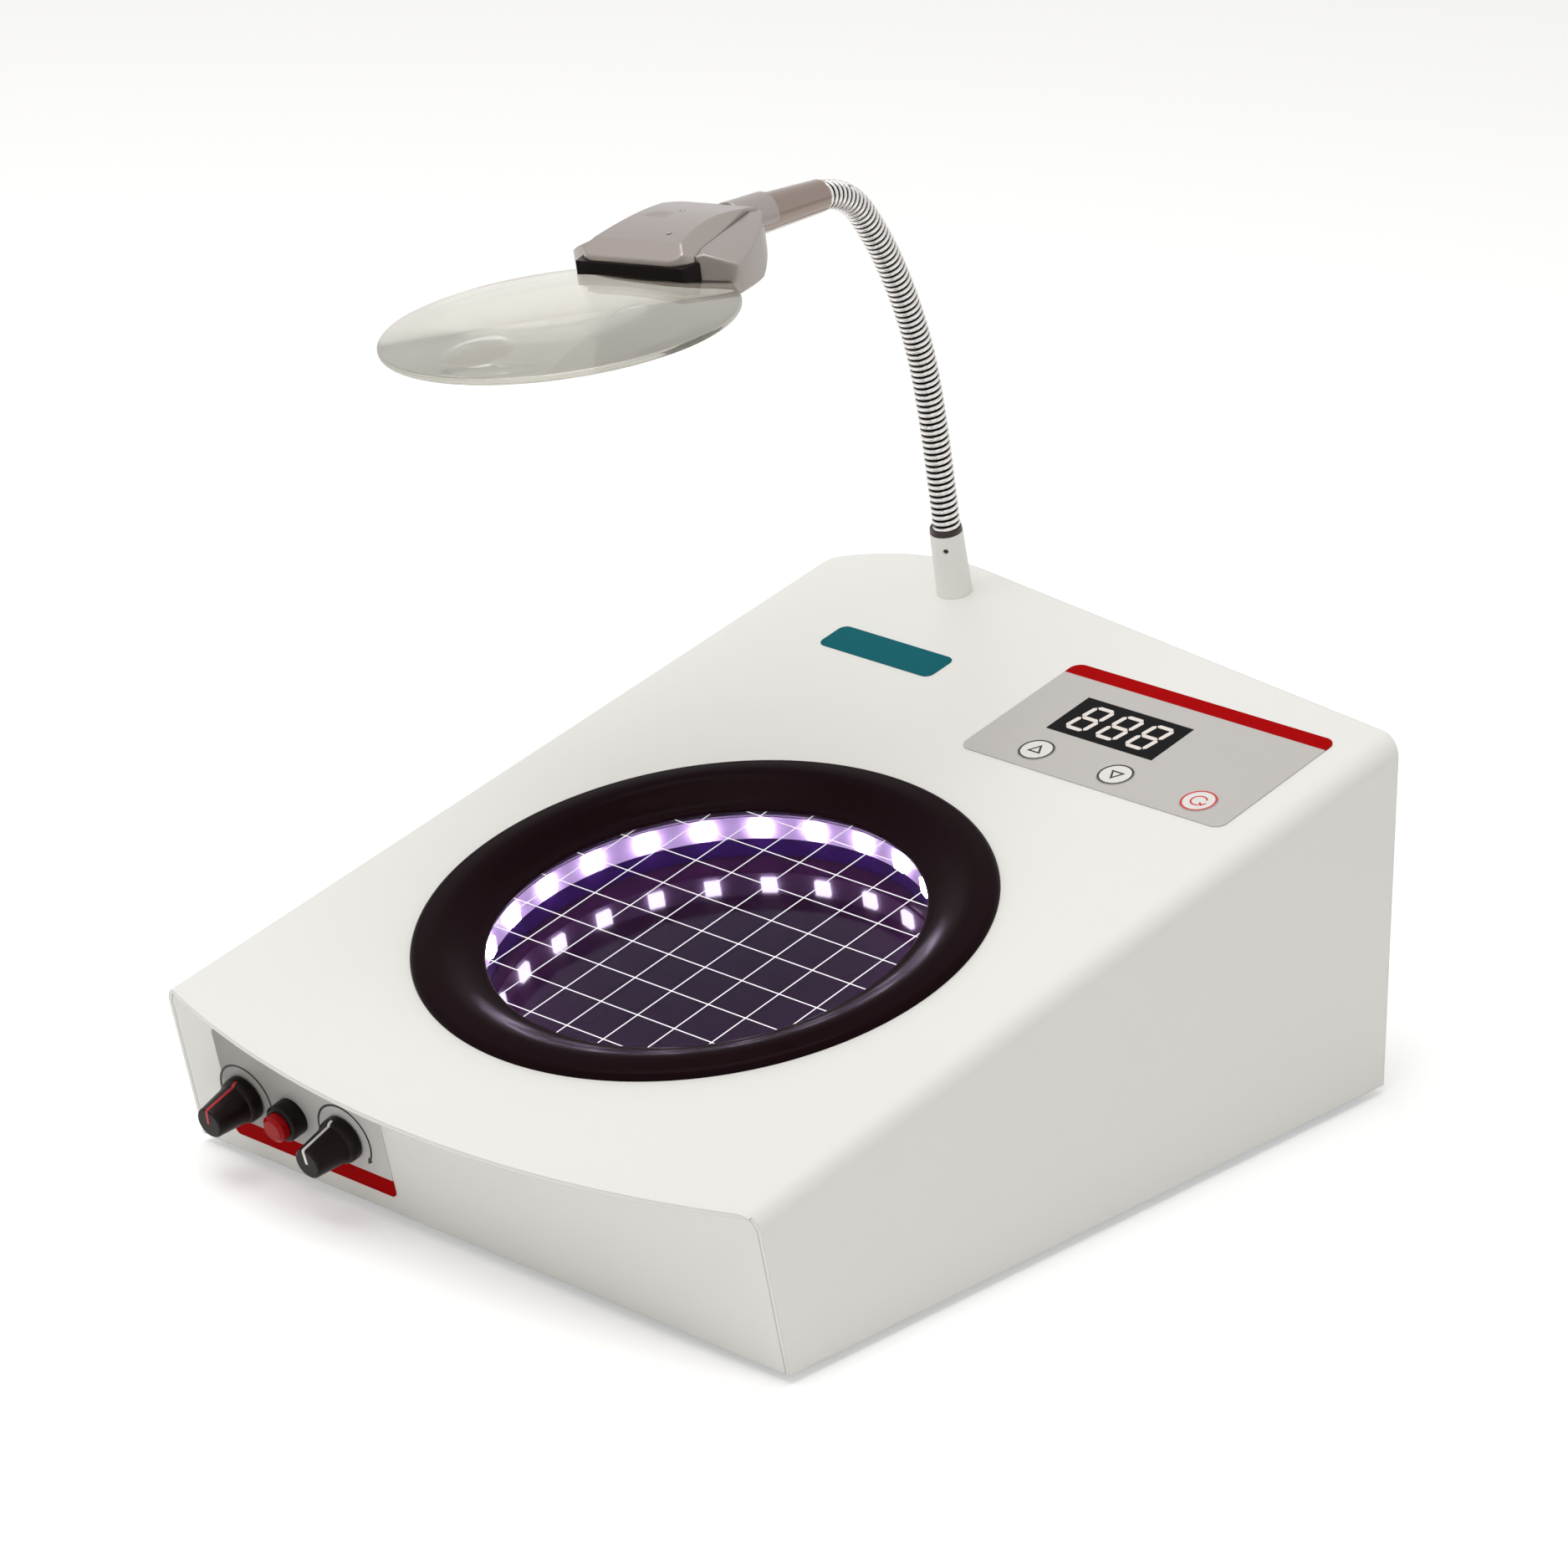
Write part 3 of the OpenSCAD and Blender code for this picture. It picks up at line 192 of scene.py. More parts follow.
def bezel_surface():
    """Point (a, s): the angle a round the stage, s along a closed profile. The profile is a
    rounded outer rim, a low crown, a cosine fall to the window and the lip over the glass."""
    bow = np.linspace(0, math.pi / 2, 9)
    rim = np.stack([RIM_R + RIM_EDGE * np.cos(bow), RIM_EDGE * np.sin(bow)], -1)
    t = np.linspace(0, 1, 7)[1:]
    crown = np.stack([RIM_R - (RIM_R - CROWN_R) * t,
                      RIM_EDGE + (CROWN_H - RIM_EDGE) * np.sin(t * math.pi / 2)], -1)
    t = np.linspace(0, 1, 15)[1:]
    fall = np.stack([CROWN_R - (CROWN_R - WINDOW_R) * t,
                     CROWN_H - FALL * (1 - np.cos(t * math.pi)) / 2], -1)
    lip = np.array([[LIP_R, LIP_UP], [LIP_R, LIP_H], [LIP_END, LIP_H]])
    r, h = np.concatenate([rim, crown, fall, lip, np.array(UNDERSIDE)]).T
    a = np.linspace(0, 2 * math.pi, BEZEL_STEPS, endpoint=False)[:, None]
    return on_top(r * np.cos(a), RING_U + r * np.sin(a), h + 0 * a)


points = bezel_surface()
bezel = piece("bezel", points, quads(*points.shape[:2], True, True), gloss_abs, "casing")
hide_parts("bezel_ring")

# ---------------------------------------------------------------- light chamber
# Under the glass hangs a deep round pot of violet acrylic with a mirror-bright floor. A tape
# of white diodes is stuck round its wall; the violet comes from the pot, not from the light.
violet, tree, shader = begin("violet acrylic", "2b0f4a", 0.16, Coat_Weight=0.3,
                             Coat_Roughness=0.03)
dress(violet, "light_chamber")
mirror, tree, shader = begin("violet mirror acrylic", "220a22", 0.1, Specular_IOR_Level=0.05,
                             Coat_Weight=0.2, Coat_Roughness=0.06)
dress(mirror, "background_disc")
tape, tree, shader = begin("white diode tape", "b7a3c6", 0.45)
dress(tape, "led_strip")
diode, tree, shader = begin("lit diode", "ffffff", 0.3)
shader.inputs["Emission Color"].default_value = linear("fbeffb")
shader.inputs["Emission Strength"].default_value = 40.0
dress(diode, "leds")

# ---------------------------------------------------------------- gridded glass
# A disc of clear float glass lies under the bezel's lip, with a counting grid of 15.3 mm
# squares printed in white ink on its upper face. The ink is given a faint glow of its own, painted
# light for the diode light it catches.
float_glass = bpy.data.materials.new("clear float glass")
float_glass.use_nodes = True
tree = float_glass.node_tree
tree.nodes.remove(tree.nodes["Principled BSDF"])
through = add(tree, "ShaderNodeBsdfTransparent", {"Color": linear("f3f1fa")})
sheen = add(tree, "ShaderNodeBsdfGlossy", {"Roughness": 0.03})
# the sheen shows only where the glass is seen nearly edge on
facing = add(tree, "ShaderNodeLayerWeight", {"Blend": 0.003})
both = add(tree, "ShaderNodeMixShader", links={0: facing.outputs["Facing"],
                                               1: through.outputs[0], 2: sheen.outputs[0]})
tree.links.new(both.outputs[0], tree.nodes["Material Output"].inputs["Surface"])
dress(float_glass, "grid_glass")

# painted light: the ink glows faintly of itself
glowing_white_ink, tree, shader = begin("white printing ink with painted glow", "f4f1f6", 0.5)
shader.inputs["Emission Color"].default_value = linear("efeaf6")
shader.inputs["Emission Strength"].default_value = 0.45


def band(path, width, closed=False):
    """A flat band along a path: each point is set off to both sides along its mitred normal."""
    path = np.asarray(path, float)
    ahead = np.roll(path, -1, 0) - path
    behind = path - np.roll(path, 1, 0)
    if not closed:
        ahead[-1], behind[0] = behind[-1], ahead[0]
    ahead /= np.linalg.norm(ahead, axis=1)[:, None]
    behind /= np.linalg.norm(behind, axis=1)[:, None]
    side = np.stack([-(ahead + behind)[:, 1], (ahead + behind)[:, 0]], -1)
    side /= np.linalg.norm(side, axis=1)[:, None]
    mitre = (side * np.stack([-ahead[:, 1], ahead[:, 0]], -1)).sum(1)
    side *= (width / 2 / np.maximum(mitre, 0.4))[:, None]
    return np.stack([path + side, path - side], 1)


def print_bands(name, paths, width, made, body, place, height, closed=False):
    """Printed lines: bands along flat paths, laid on a face at a height."""
    verts, faces = [], []
    for path in paths:
        flat = band(path, width, closed)
        faces += [f[::-1] for f in quads(len(flat), 2, closed, start=sum(len(v) for v in verts))]
        verts.append(place(flat[..., 0], flat[..., 1], height).reshape(-1, 3))
    return piece(name, np.concatenate(verts), faces, made, body, False)


GRID, GRID_LINE, GRID_R = 0.0153, 0.00042, 0.0738
LAST_LINE = 0.070  # no line is printed further out than this
GRID_OFF = (0.0003, -0.0023)  # the grid's middle line from the stage's middle, both ways
GLASS_H, INK = -0.004, 0.00003
lines = []
for way, offset in enumerate(GRID_OFF):
    for k in range(-5, 6):
        c = offset + k * GRID
        if abs(c) < LAST_LINE:
            half = math.sqrt(GRID_R ** 2 - c * c)
            lines.append([(-half, c), (half, c)] if way else [(c, -half), (c, half)])
grid = print_bands("counting_grid", lines, GRID_LINE, glowing_white_ink, "casing",
                   lambda x, u, h: on_top(x, u + RING_U, h), GLASS_H + INK)

# ---------------------------------------------------------------- keypad and display
# The keypad is a printed polycarbonate film with a red band along its rear edge. Behind its
# smoked window sits a three-digit display; the keys are round discs that press through it.
PAD_X, PAD_U = 0.003, 0.2325  # the keypad's front left corner on the top


def on_pad(x, u, h):
    """A point of the keypad: x and u from its front left corner, h above the top."""
    return on_top(PAD_X + x, PAD_U + u, h)


def film(name, code, roughness, **sockets):
    """Printed film: flat colour under a fine velvet grain, scaled up to 1 mm so that it shows."""
    made, tree, shader = begin(name, code, roughness, **sockets)
    where = add(tree, "ShaderNodeTexCoord")
    grain = add(tree, "ShaderNodeTexNoise", {"Scale": 1000.0},
                {"Vector": where.outputs["Object"]})
    bump = add(tree, "ShaderNodeBump", {"Strength": 0.05, "Distance": 0.0001},
               {"Height": grain.outputs["Fac"]})
    tree.links.new(bump.outputs["Normal"], shader.inputs["Normal"])
    return made


dress(film("grey printed film", "bfbbb8", 0.45), "keypad_label")
dress(film("red printed film", "a80004", 0.35, Specular_IOR_Level=0.01),
      "keypad_stripe", "front_stripe")
dress(film("pale key film", "e4e1de", 0.45), "key_up", "key_down", "key_reset")
smoke, tree, shader = begin("smoked acrylic", "080607", 0.12, Specular_IOR_Level=0.04)
dress(smoke, "display_window")
lit, tree, shader = begin("lit display segment", "d8d0ca", 0.4)
shader.inputs["Emission Color"].default_value = linear("fff8f2")
shader.inputs["Emission Strength"].default_value = 0.12
dress(lit, "display_digits")
black_ink, tree, shader = begin("black printing ink", "0d0b0c", 0.5)
red_ink, tree, shader = begin("red printing ink", "c9282c", 0.5)

KEY_TOP, KEY_U = 0.00063, 0.01
KEY_RING, KEY_LINE = 0.0056, 0.0007
TRIANGLE_HALF, TRIANGLE_DOWN, TRIANGLE_UP = 0.0021, 0.0014, 0.0024
RESET_R, RESET_LINE = 0.0026, 0.0006


def arc_at(x, u, radius, angles):
    """Points round a middle at one radius."""
    return np.stack([x + radius * np.cos(angles), u + radius * np.sin(angles)], -1)


# up and down carry a triangle each, reset a round arrow with a barb
full_turn = np.linspace(0, 2 * math.pi, 65)[:-1]
for name, x, ink in (("key_up", 0.0245, black_ink), ("key_down", 0.057, black_ink),
                     ("key_reset", 0.0905, red_ink)):
    circle = arc_at(x, KEY_U, KEY_RING, full_turn)
    printed = print_bands(name + "_circle", [circle], KEY_LINE, ink, name, on_pad, KEY_TOP, True)
    if name == "key_reset":
        barb = np.array([[x + 0.0009, 0.0093], [x + 0.0023, 0.0081], [x + 0.0031, 0.0098]])
        mark = [arc_at(x, KEY_U, RESET_R, np.linspace(0.5, 5.6, 40)), barb]
        sign = print_bands(name + "_sign", mark, RESET_LINE, ink, name, on_pad, KEY_TOP)
    else:
        way = 1 if name == "key_up" else -1
        corners = np.array([[-TRIANGLE_HALF, -TRIANGLE_DOWN * way],
                            [TRIANGLE_HALF, -TRIANGLE_DOWN * way], [0, TRIANGLE_UP * way]])
        sign = print_bands(name + "_sign", [corners + [x, KEY_U]], KEY_LINE, ink, name, on_pad,
                           KEY_TOP, True)

# ---------------------------------------------------------------- colour plate
# A thin bare plate of teal film is stuck on the top behind the stage. It is a rectangle with
# rounded corners, punched from sheet.
teal = film("teal film", "00606a", 0.35, Specular_IOR_Level=0.03)
PLATE_CORNER, PLATE_UNDER, PLATE_TOP = 0.003, 0.00002, 0.0002
PLATE_MIDDLES = (-0.038, 0.273), (-0.081, 0.273), (-0.081, 0.265), (-0.038, 0.265)
quarter = np.radians(np.linspace(0, 90, 9))
outline = np.concatenate([arc_at(x, u, PLATE_CORNER, quarter + k * math.pi / 2)
                          for k, (x, u) in enumerate(PLATE_MIDDLES)])
rows = np.stack([on_top(*outline.T, PLATE_UNDER), on_top(*outline.T, PLATE_TOP)])
plate_faces = quads(2, len(outline), False, True)
plate_faces.append(list(range(len(outline), 2 * len(outline))))
plate = piece("teal_plate", rows, plate_faces, teal, "casing", False)

# ---------------------------------------------------------------- front label
# The label on the leaning front is the same film, in a grey that runs from darker at its left to
# paler at its right.
# Each knob has a printed arc with an arrow that points the way to turn for more.
FRONT_FOOT_Y = -0.142
LEAN = math.atan2(FRONT_FOOT_Y - FRONT_Y, FRONT_H)
FADE = (-0.115, -0.04)  # from here to here across the label

fading = film("fading grey printed film", "aba7a4", 0.45)
tree, shader = fading.node_tree, fading.node_tree.nodes["Principled BSDF"]
where = add(tree, "ShaderNodeTexCoord")
across = add(tree, "ShaderNodeSeparateXYZ", links={0: where.outputs["Object"]})
shade = add(tree, "ShaderNodeMapRange", {"From Min": FADE[0], "From Max": FADE[1]},
            {"Value": across.outputs["X"]})
tone = add(tree, "ShaderNodeMix", {6: linear("8e8a86"), 7: linear("d2d0ce")},
           {0: shade.outputs["Result"]}, data_type="RGBA")
tree.links.new(tone.outputs[2], shader.inputs["Base Color"])
dress(fading, "front_label")


def on_front(x, v, h):
    """A point of the front panel: x across, v up the panel, h out of it."""
    x, v, h = np.broadcast_arrays(x, v, h)
    a = math.pi / 2 + LEAN
    return np.stack([x, FRONT_FOOT_Y + v * math.cos(a) - h * math.sin(a),
                     v * math.sin(a) + h * math.cos(a)], -1)


CONTROL_V, DIAL_R, DIAL_LINE = 0.0235, 0.0112, 0.0008
DIAL_H, ARROW_H, ARROW_HALF = 0.00043, 0.00044, 0.0011
for side, x in (("left", -0.0975), ("right", -0.0535)):
    arc = arc_at(x, CONTROL_V, DIAL_R, np.radians(np.linspace(215, -28, 60)))
    dial = print_bands(side + "_arc", [arc], DIAL_LINE, black_ink, "casing", on_front, DIAL_H)
    root, tip = arc[-1], arc_at(x, CONTROL_V, DIAL_R, math.radians(-42))
    way = (tip - root) / np.linalg.norm(tip - root)
    off = np.array([-way[1], way[0]]) * ARROW_HALF
    shape = on_front(*np.array([root + off, root - off, tip]).T, ARROW_H)
    head = piece(side + "_arrow", shape, [(0, 1, 2)], black_ink, "casing", False)

# ---------------------------------------------------------------- knobs and push-button
# The knobs are moulded in satin black with an inlaid pointer; the button is a red cap in a
# black collar. Both have the slightly soft edges of moulded parts.
def moulded(name, code, roughness, **sockets):
    """Moulded plastic: soft edges and a fine grain of about 0.6 mm."""
    made, tree, shader = begin(name, code, roughness, **sockets)
    where = add(tree, "ShaderNodeTexCoord")
    edge = add(tree, "ShaderNodeBevel", {"Radius": 0.0004}, samples=6)
    grain = add(tree, "ShaderNodeTexNoise", {"Scale": 1700.0},
                {"Vector": where.outputs["Object"]})
    bump = add(tree, "ShaderNodeBump", {"Strength": 0.08, "Distance": 0.0001},
               {"Height": grain.outputs["Fac"], "Normal": edge.outputs["Normal"]})
    tree.links.new(bump.outputs["Normal"], shader.inputs["Normal"])
    return made


dress(moulded("satin black ABS", "170d0d", 0.34, Specular_IOR_Level=0.15),
      "left_knob", "right_knob", "button_collar")
dress(moulded("red pointer inlay", "b00612", 0.35), "left_pointer")
dress(moulded("white pointer inlay", "e9e6e4", 0.35), "right_pointer")
dress(moulded("red button cap", "a00006", 0.25, Specular_IOR_Level=0.15), "button_cap")

# ---------------------------------------------------------------- inner parts
# Boards, switches, display module, buzzer and jack. They are out of sight but keep the colours
# of what they are: moulded black plastic and boards under green solder resist.
dress(moulded("black switch plastic", "1a1819", 0.5),
      "display_module", "key_switches", "button_switch", "buzzer", "power_jack")
dress(moulded("green solder resist", "1f5a34", 0.35), "display_board", "main_board")

# ---------------------------------------------------------------- gooseneck collar
# The collar is turned steel in a pale powder coat like the casing's, with a grub screw in its
# side and a dark steel ring where the gooseneck enters.
dress(powder_coat("pale grey coat", "f1f0ec"), "neck_collar")
dress(moulded("blackened steel", "2e1c14", 0.35), "neck_grommet", "set_screw", "head_screws")

# ---------------------------------------------------------------- gooseneck
# A flexible arm wound from round polished wire over a dark steel core. It is made in six
# lengths that each bend across one joint and a last one that the head carries.
TURN = math.radians(5.3)  # the arm's upright plane, from straight ahead
STRETCH, BENDS = 0.0261, np.radians([0.6, 3.4, 9.1, 8, 9.5, 46])  # six lengths, each one's bend
FOOT = on_top(-0.066, 0.312, 0.0)
COLLAR_TOP = 0.0253  # where the arm leaves its collar, along it
NECK_R, WIRE_R, PITCH, CORE_R = 0.00485, 0.00092, 0.0023, 0.0033
AROUND_WIRE, AROUND_CORE, ALONG_TURN, ALONG_CORE = 10, 24, 20, 14
FORWARD = np.array([math.sin(TURN), -math.cos(TURN), 0.0])
ACROSS = np.array([math.cos(TURN), math.sin(TURN), 0.0])
UPRIGHT = np.array([0, 0, 1.0])
IN_COLLAR, OVERRUN = 0.0003, PITCH / 48  # how far it starts inside, and how far a length may run on


def arm_point(ahead, height):
    """A point of the arm's upright plane, ahead of and above the gooseneck's foot."""
    return np.stack([FOOT[0] + ahead * math.sin(TURN), FOOT[1] - ahead * math.cos(TURN),
                     FOOT[2] + height], -1)


def centreline(s):
    """The arm's centre at length s and its heading from upright: a chain of circular arcs,
    found by adding up the small steps of the heading's sine and cosine."""
    fine = np.linspace(-0.002, 6 * STRETCH + 0.001, 4001)
    edges = np.arange(7) * STRETCH
    heading = np.interp(fine, edges, SLOPE + np.concatenate([[0], np.cumsum(BENDS)]))
    step = np.diff(fine)
    mid = (heading[1:] + heading[:-1]) / 2
    ahead = np.concatenate([[0], np.cumsum(np.sin(mid) * step)])
    height = np.concatenate([[0], np.cumsum(np.cos(mid) * step)])
    ahead += COLLAR_TOP * math.sin(SLOPE) - np.interp(0, fine, ahead)
    height += COLLAR_TOP * math.cos(SLOPE) - np.interp(0, fine, height)
    return np.interp(s, fine, ahead), np.interp(s, fine, height), np.interp(s, fine, heading)


def tube_on_arm(s, angle, out, radius, around):
    """A tube of one radius along the arm. Its centre is set off from the arm's at an angle and
    a distance, and its section is a circle that turns with the arm."""
    ahead, height, heading = centreline(s)
    along = np.sin(heading)[:, None] * FORWARD + np.cos(heading)[:, None] * UPRIGHT
    away = np.cos(heading)[:, None] * FORWARD - np.sin(heading)[:, None] * UPRIGHT
    radial = np.cos(angle)[:, None] * away + np.sin(angle)[:, None] * ACROSS
    centre = arm_point(ahead, height) + out * radial
    psi = np.linspace(0, 2 * math.pi, around, endpoint=False)
    if out:
        first, second = radial, along
    else:
        first, second = away, np.broadcast_to(ACROSS, away.shape)
    return centre[:, None] + radius * (np.cos(psi)[None, :, None] * first[:, None]
                                       + np.sin(psi)[None, :, None] * second[:, None])


wire, tree, shader = begin("polished steel wire", "e4e2e1", 0.2, Metallic=1.0)
# painted shade: the flanks of each turn are darkened towards the grooves between the turns
depth = add(tree, "ShaderNodeAttribute", attribute_name="groove")
painted_groove_shade = add(tree, "ShaderNodeMapRange", {"From Min": 0.4, "From Max": 0.85},
          {"Value": depth.outputs["Fac"]})
wire_with_painted_shade = add(tree, "ShaderNodeMix", {6: linear("2b2523"), 7: linear("e6e3e0")},
            {0: painted_groove_shade.outputs["Result"]}, data_type="RGBA")
tree.links.new(wire_with_painted_shade.outputs[2], shader.inputs["Base Color"])
# painted shade: the core is near black so that the gaps between the turns look shaded
core, tree, shader = begin("steel core dark with painted shade", "171413", 0.45, Metallic=0.3)
# the lengths meet in the middle of the stretches, where no joint is
cuts = [-IN_COLLAR] + [(i + 0.5) * STRETCH for i in range(6)] + [6 * STRETCH]
section = np.linspace(0, 2 * math.pi, AROUND_WIRE, endpoint=False)
for i in range(7):
    s = np.arange(cuts[i], cuts[i + 1] + OVERRUN, PITCH / ALONG_TURN)
    coil = tube_on_arm(s, 2 * math.pi * s / PITCH, NECK_R - WIRE_R, WIRE_R, AROUND_WIRE)
    s = np.linspace(cuts[i], cuts[i + 1], ALONG_CORE)
    inner = tube_on_arm(s, 0 * s, 0.0, CORE_R, AROUND_CORE)
    n, m = len(coil) * AROUND_WIRE, len(inner) * AROUND_CORE
    coil_faces = quads(len(coil), AROUND_WIRE, False, True)
    core_faces = quads(len(inner), AROUND_CORE, False, True, n)
    caps = [list(range(AROUND_WIRE)), list(range(n - 1, n - 1 - AROUND_WIRE, -1)),
            list(range(n, n + AROUND_CORE)),
            list(range(n + m - 1, n + m - 1 - AROUND_CORE, -1))]
    length = piece(f"gooseneck_{i}", np.concatenate([coil.reshape(-1, 3), inner.reshape(-1, 3)]),
                   coil_faces + core_faces + caps, wire)
    length.data.materials.append(core)
    kind = np.repeat([0, 1, 0, 1], [len(coil_faces), len(core_faces), 2, 2])
    length.data.polygons.foreach_set("material_index", kind)
    # the mask of the painted shade: 1 on the outside of each turn, falling into the grooves
    groove = length.data.attributes.new("groove", "FLOAT", "POINT")
    groove.data.foreach_set("value", np.concatenate([np.tile(np.cos(section), len(coil)),
                                                     np.zeros(m)]))
    if i < 6:
        a, h, _ = centreline(np.array([cuts[i], cuts[i + 1]]))
        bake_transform(length)
        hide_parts(f"neck_{i + 1}")
    else:
        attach(length, "head")

# ---------------------------------------------------------------- sleeve
# The gooseneck ends in a short sleeve that slides into the head. It is brass, polished and
# nickel plated, so it is bright and mirrors what stands round it.
nickel, tree, shader = begin("polished nickel plate", "92837b", 0.08, Metallic=1.0)
dress(nickel, "neck_sleeve")

# ---------------------------------------------------------------- magnifier head
# The head is moulded ABS with silver lacquer: a lower body, a bevelled upper lid held by two
# screws, and a black jaw that clamps the lens.
lacquer, tree, shader = begin("silver lacquer", "a39a96", 0.3, Metallic=0.8)
where = add(tree, "ShaderNodeTexCoord")
edge = add(tree, "ShaderNodeBevel", {"Radius": 0.0012}, samples=8)
flake = add(tree, "ShaderNodeTexNoise", {"Scale": 2600.0}, {"Vector": where.outputs["Object"]})
bump = add(tree, "ShaderNodeBump", {"Strength": 0.06, "Distance": 0.0001},
           {"Height": flake.outputs["Fac"], "Normal": edge.outputs["Normal"]})
tree.links.new(bump.outputs["Normal"], shader.inputs["Normal"])
dress(lacquer, "head_lower", "head_upper")
dress(moulded("black jaw plastic", "120a0a", 0.3, Specular_IOR_Level=0.12), "lens_clamp")

# ---------------------------------------------------------------- lens
# The lens is cast clear acrylic, bulged on both faces, with a small stronger lens moulded into
# it near its front edge and a rim that is polished round.
LENS_R, FACE_R, EDGE = 0.0555, 0.330, 0.002
RIM_ROUND, FACE_STEPS, LENS_STEPS = 0.0008, 44, 160
DOME_A, DOME_R, DOME_H = -0.038, 0.0105, 0.0022  # the small lens: its place, radius and rise
LENS_AHEAD, LENS_UP = 0.2085, 0.142  # the lens's middle, from the gooseneck's foot
PITCHED, ROLLED = math.radians(4.5), math.radians(-6.2)


def on_lens(b, a, n):
    """A point in the lens's frame: b to the right, a back along the head, n out of the top."""
    b, a, n = np.broadcast_arrays(b, a, n)
    cos, sin = math.cos, math.sin
    y, z = a * cos(PITCHED) - n * sin(PITCHED), a * sin(PITCHED) + n * cos(PITCHED)
    x, z = b * cos(ROLLED) + z * sin(ROLLED), -b * sin(ROLLED) + z * cos(ROLLED)
    x, y = x * cos(TURN) - y * sin(TURN), x * sin(TURN) + y * cos(TURN)
    return np.stack([x, y, z], -1) + arm_point(LENS_AHEAD, LENS_UP)


def lens_surface():
    """Point (q, w): polar. Going along w, the upper face falls by the sagitta of its radius,
    the rim is a half circle and the lower face comes back; the small lens adds a dome."""
    depth = FACE_R - math.sqrt(FACE_R ** 2 - LENS_R ** 2)
    r = (LENS_R - RIM_ROUND) * np.sin(np.linspace(0.001, math.pi / 2, FACE_STEPS))
    height = EDGE / 2 + depth - (FACE_R - np.sqrt(FACE_R ** 2 - r ** 2))
    bow = np.linspace(math.pi / 2, -math.pi / 2, 9)[1:-1]
    half = height[-1]
    rim_r, rim_h = LENS_R - RIM_ROUND + RIM_ROUND * np.cos(bow), half * np.sin(bow)
    w_r = np.concatenate([r, rim_r, r[::-1]])
    w_h = np.concatenate([height, rim_h, -height[::-1]])
    q = np.linspace(0, 2 * math.pi, LENS_STEPS, endpoint=False)[:, None]
    b, a = w_r * np.cos(q), w_r * np.sin(q)
    near = np.hypot(b, a - DOME_A) / DOME_R
    dome = DOME_H * np.clip(1 - near ** 2, 0, None) * (np.arange(len(w_r)) < FACE_STEPS)
    return on_lens(b, a, w_h + dome)


acrylic, tree, shader = begin("clear cast acrylic", "dad7cc", 0.0, IOR=1.49,
                              Transmission_Weight=1.0)
# most of it bends what lies behind it, as thick acrylic does; a small share is drawn as clear
BENDING = 0.85
clear = add(tree, "ShaderNodeBsdfTransparent", {"Color": linear("dcdad2")})
share = add(tree, "ShaderNodeMixShader", {0: BENDING},
            {1: clear.outputs[0], 2: shader.outputs[0]})
tree.links.new(share.outputs[0], tree.nodes["Material Output"].inputs["Surface"])
points = lens_surface()
nq, nw = points.shape[:2]
faces = quads(nq, nw, True) + [[i * nw for i in range(nq)][::-1],
                               [i * nw + nw - 1 for i in range(nq)]]
lens = piece("lens_disc", points, [f[::-1] for f in faces], acrylic, "head")
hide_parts("lens")

# ---------------------------------------------------------------- floor, light and camera
# A wide pale floor, a soft room and one large lamp overhead. Where the background is looked
# at, straight on or in a gloss or through the lens, it is white.
FLOOR_HALF, FLOOR_H, LIFT = 6.0, -0.003, 0.26
paper, tree, shader = begin("pale floor", "ffffff", 0.9)


def seen(tree):
    """One where the background is looked at, straight on, in a mirror or through glass."""
    ray = add(tree, "ShaderNodeLightPath")
    either = add(tree, "ShaderNodeMath", links={0: ray.outputs["Is Camera Ray"],
                                                1: ray.outputs["Is Glossy Ray"]},
                 operation="MAXIMUM")
    any_ray = add(tree, "ShaderNodeMath", links={0: either.outputs[0],
                                                 1: ray.outputs["Is Transmission Ray"]},
                  operation="MAXIMUM")
    return any_ray.outputs[0]


lift = add(tree, "ShaderNodeMath", {1: LIFT}, {0: seen(tree)}, operation="MULTIPLY")
tree.links.new(lift.outputs[0], shader.inputs["Emission Strength"])
shader.inputs["Emission Color"].default_value = (1, 1, 1, 1)
shader.inputs["Specular IOR Level"].default_value = 0.1
ends = np.array([-1, 1]) * FLOOR_HALF
floor = piece("floor", [(x, y, FLOOR_H) for x in ends for y in ends], [(0, 2, 3, 1)], paper)

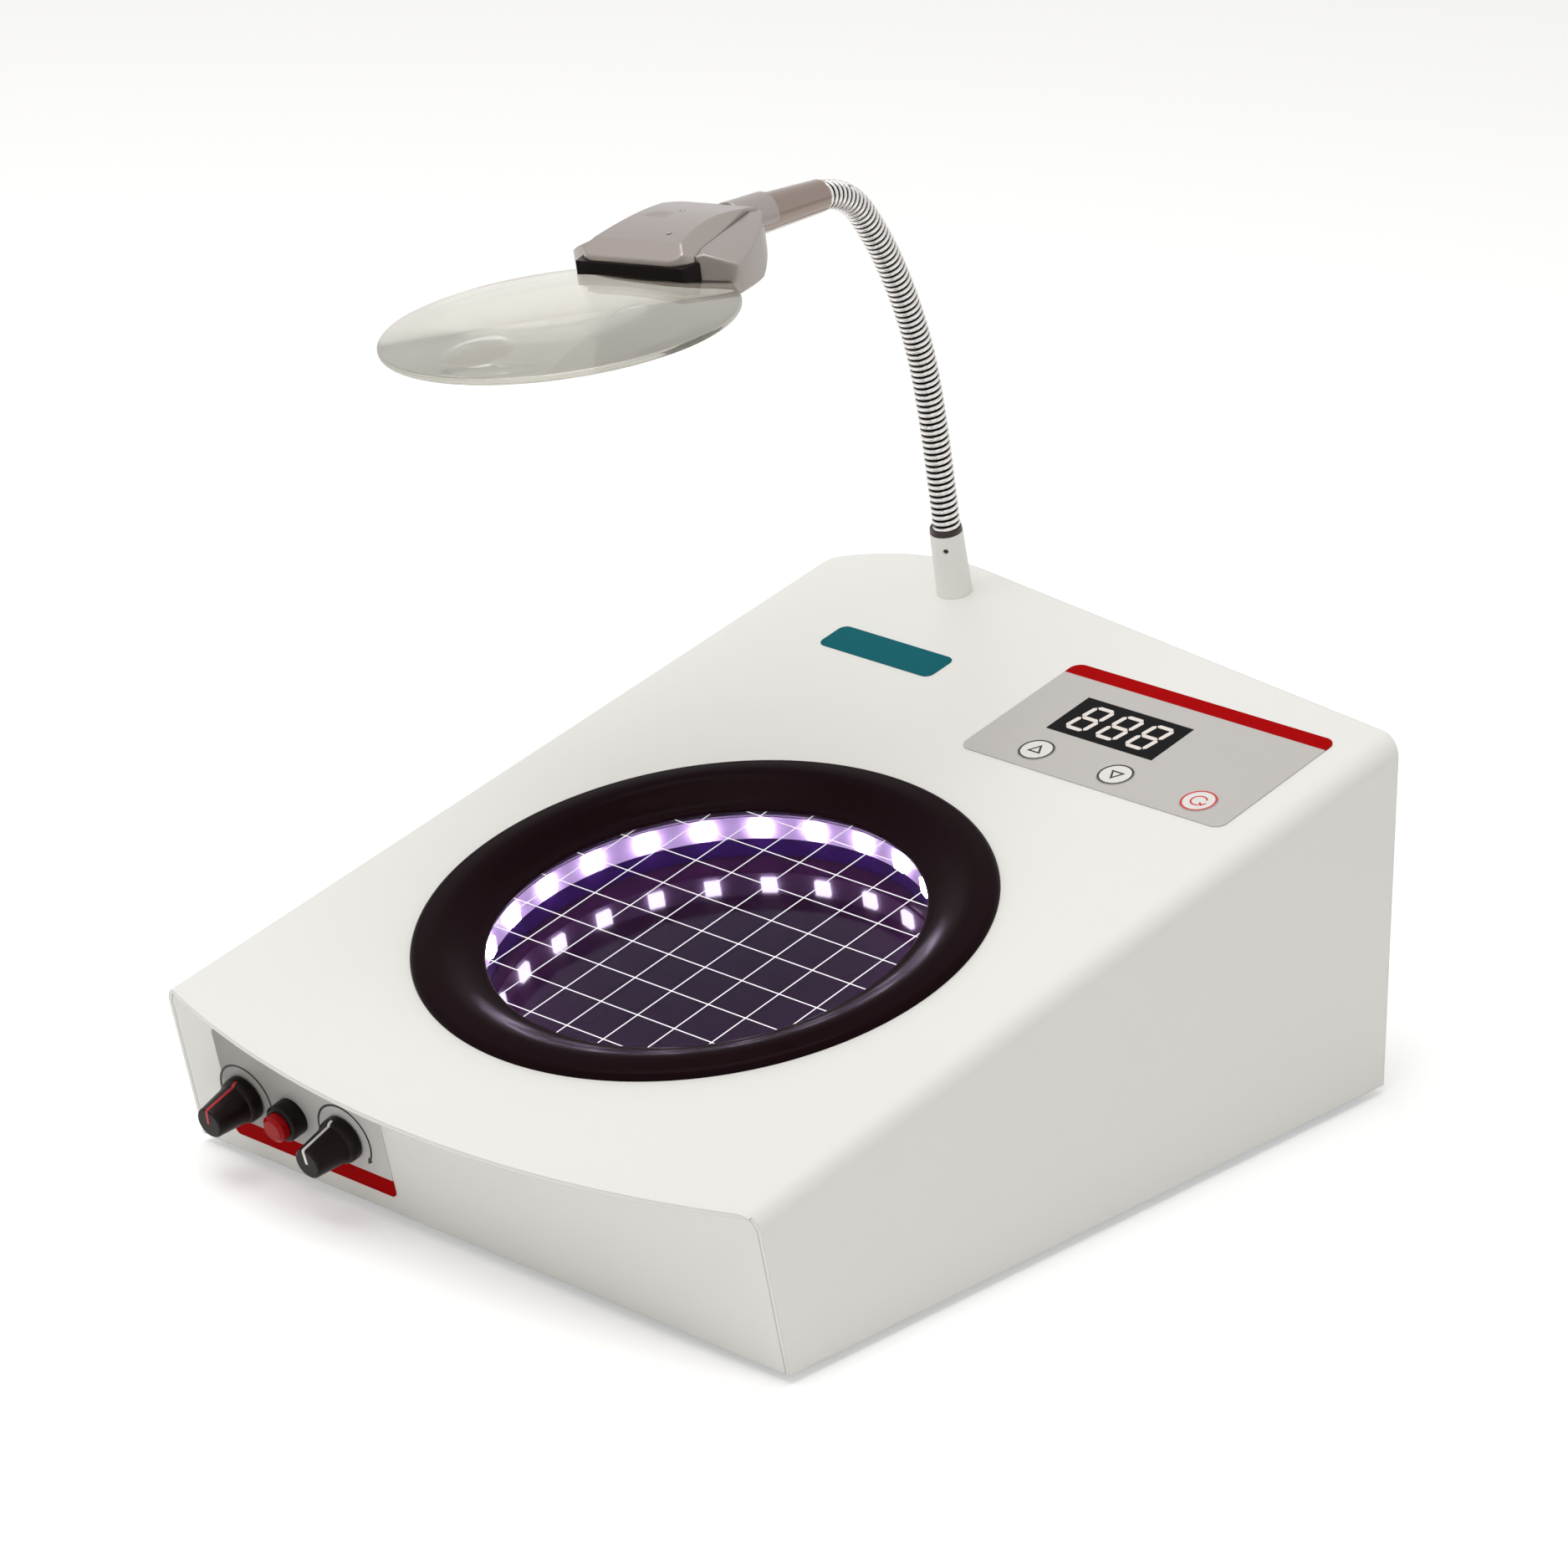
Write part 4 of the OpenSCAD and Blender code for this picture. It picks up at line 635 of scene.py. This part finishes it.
# the room from the floor up: a dark line of furniture, pale walls and a dimmer ceiling
world = bpy.data.worlds.new("studio")
bpy.context.scene.world = world
world.use_nodes = True
tree = world.node_tree
sky = add(tree, "ShaderNodeTexCoord")
level = add(tree, "ShaderNodeSeparateXYZ", links={0: sky.outputs["Generated"]})
room = add(tree, "ShaderNodeValToRGB", links={"Fac": level.outputs["Z"]})
stops = room.color_ramp
stops.elements[0].position, stops.elements[0].color = 0.0, (0.6, 0.58, 0.54, 1)
stops.elements[1].position, stops.elements[1].color = 1.0, (0.3, 0.3, 0.3, 1)
for at, grey in ((0.03, 0.1), (0.1, 0.1), (0.17, 0.6), (0.3, 0.74), (0.6, 0.66), (0.75, 0.3)):
    stops.elements.new(at).color = (grey, grey * 0.985, grey * 0.95, 1)
shown = add(tree, "ShaderNodeMix", {7: (1, 1, 1, 1)},
            {0: seen(tree), 6: room.outputs["Color"]}, data_type="RGBA")
tree.links.new(shown.outputs[2], tree.nodes["Background"].inputs["Color"])

lamp = bpy.data.lights.new("overhead", "AREA")
lamp.size, lamp.energy = 1.4, 22.0
above = bpy.data.objects.new("overhead", lamp)
above.location = (-0.1, -0.4, 1.9)
above.rotation_euler = (0.2, -0.05, 0)
bpy.context.scene.collection.objects.link(above)

# the camera stands off the middle of the casing: a turn, a height and a slight tilt
azimuth, elevation, roll = np.radians([42.201, 20.997, 0.346])
ASIDE, ABOVE, DISTANCE = -0.004969, 0.103317, 1.898176
FOCAL, FRAME, SENSOR = 7126.968, 1875, 36.0
back = np.array([math.sin(azimuth) * math.cos(elevation),
                 -math.cos(azimuth) * math.cos(elevation), math.sin(elevation)])
right = np.array([math.cos(azimuth), math.sin(azimuth), 0.0])
up = np.cross(back, right)
level_right = math.cos(roll) * right + math.sin(roll) * up
level_up = -math.sin(roll) * right + math.cos(roll) * up
place = ASIDE * level_right + ABOVE * level_up + DISTANCE * back
lens_data = bpy.data.cameras.new("camera")
lens_data.sensor_width = SENSOR
lens_data.lens = FOCAL / FRAME * SENSOR
lens_data.clip_end = 50.0
camera = bpy.data.objects.new("camera", lens_data)
camera.matrix_world = Matrix([[*(float(v) for v in row), float(p)] for row, p in zip(
    np.stack([level_right, level_up, back], 1), place)] + [[0, 0, 0, 1]])
bpy.context.scene.collection.objects.link(camera)
bpy.context.scene.camera = camera
bpy.context.scene.view_settings.view_transform = "Standard"
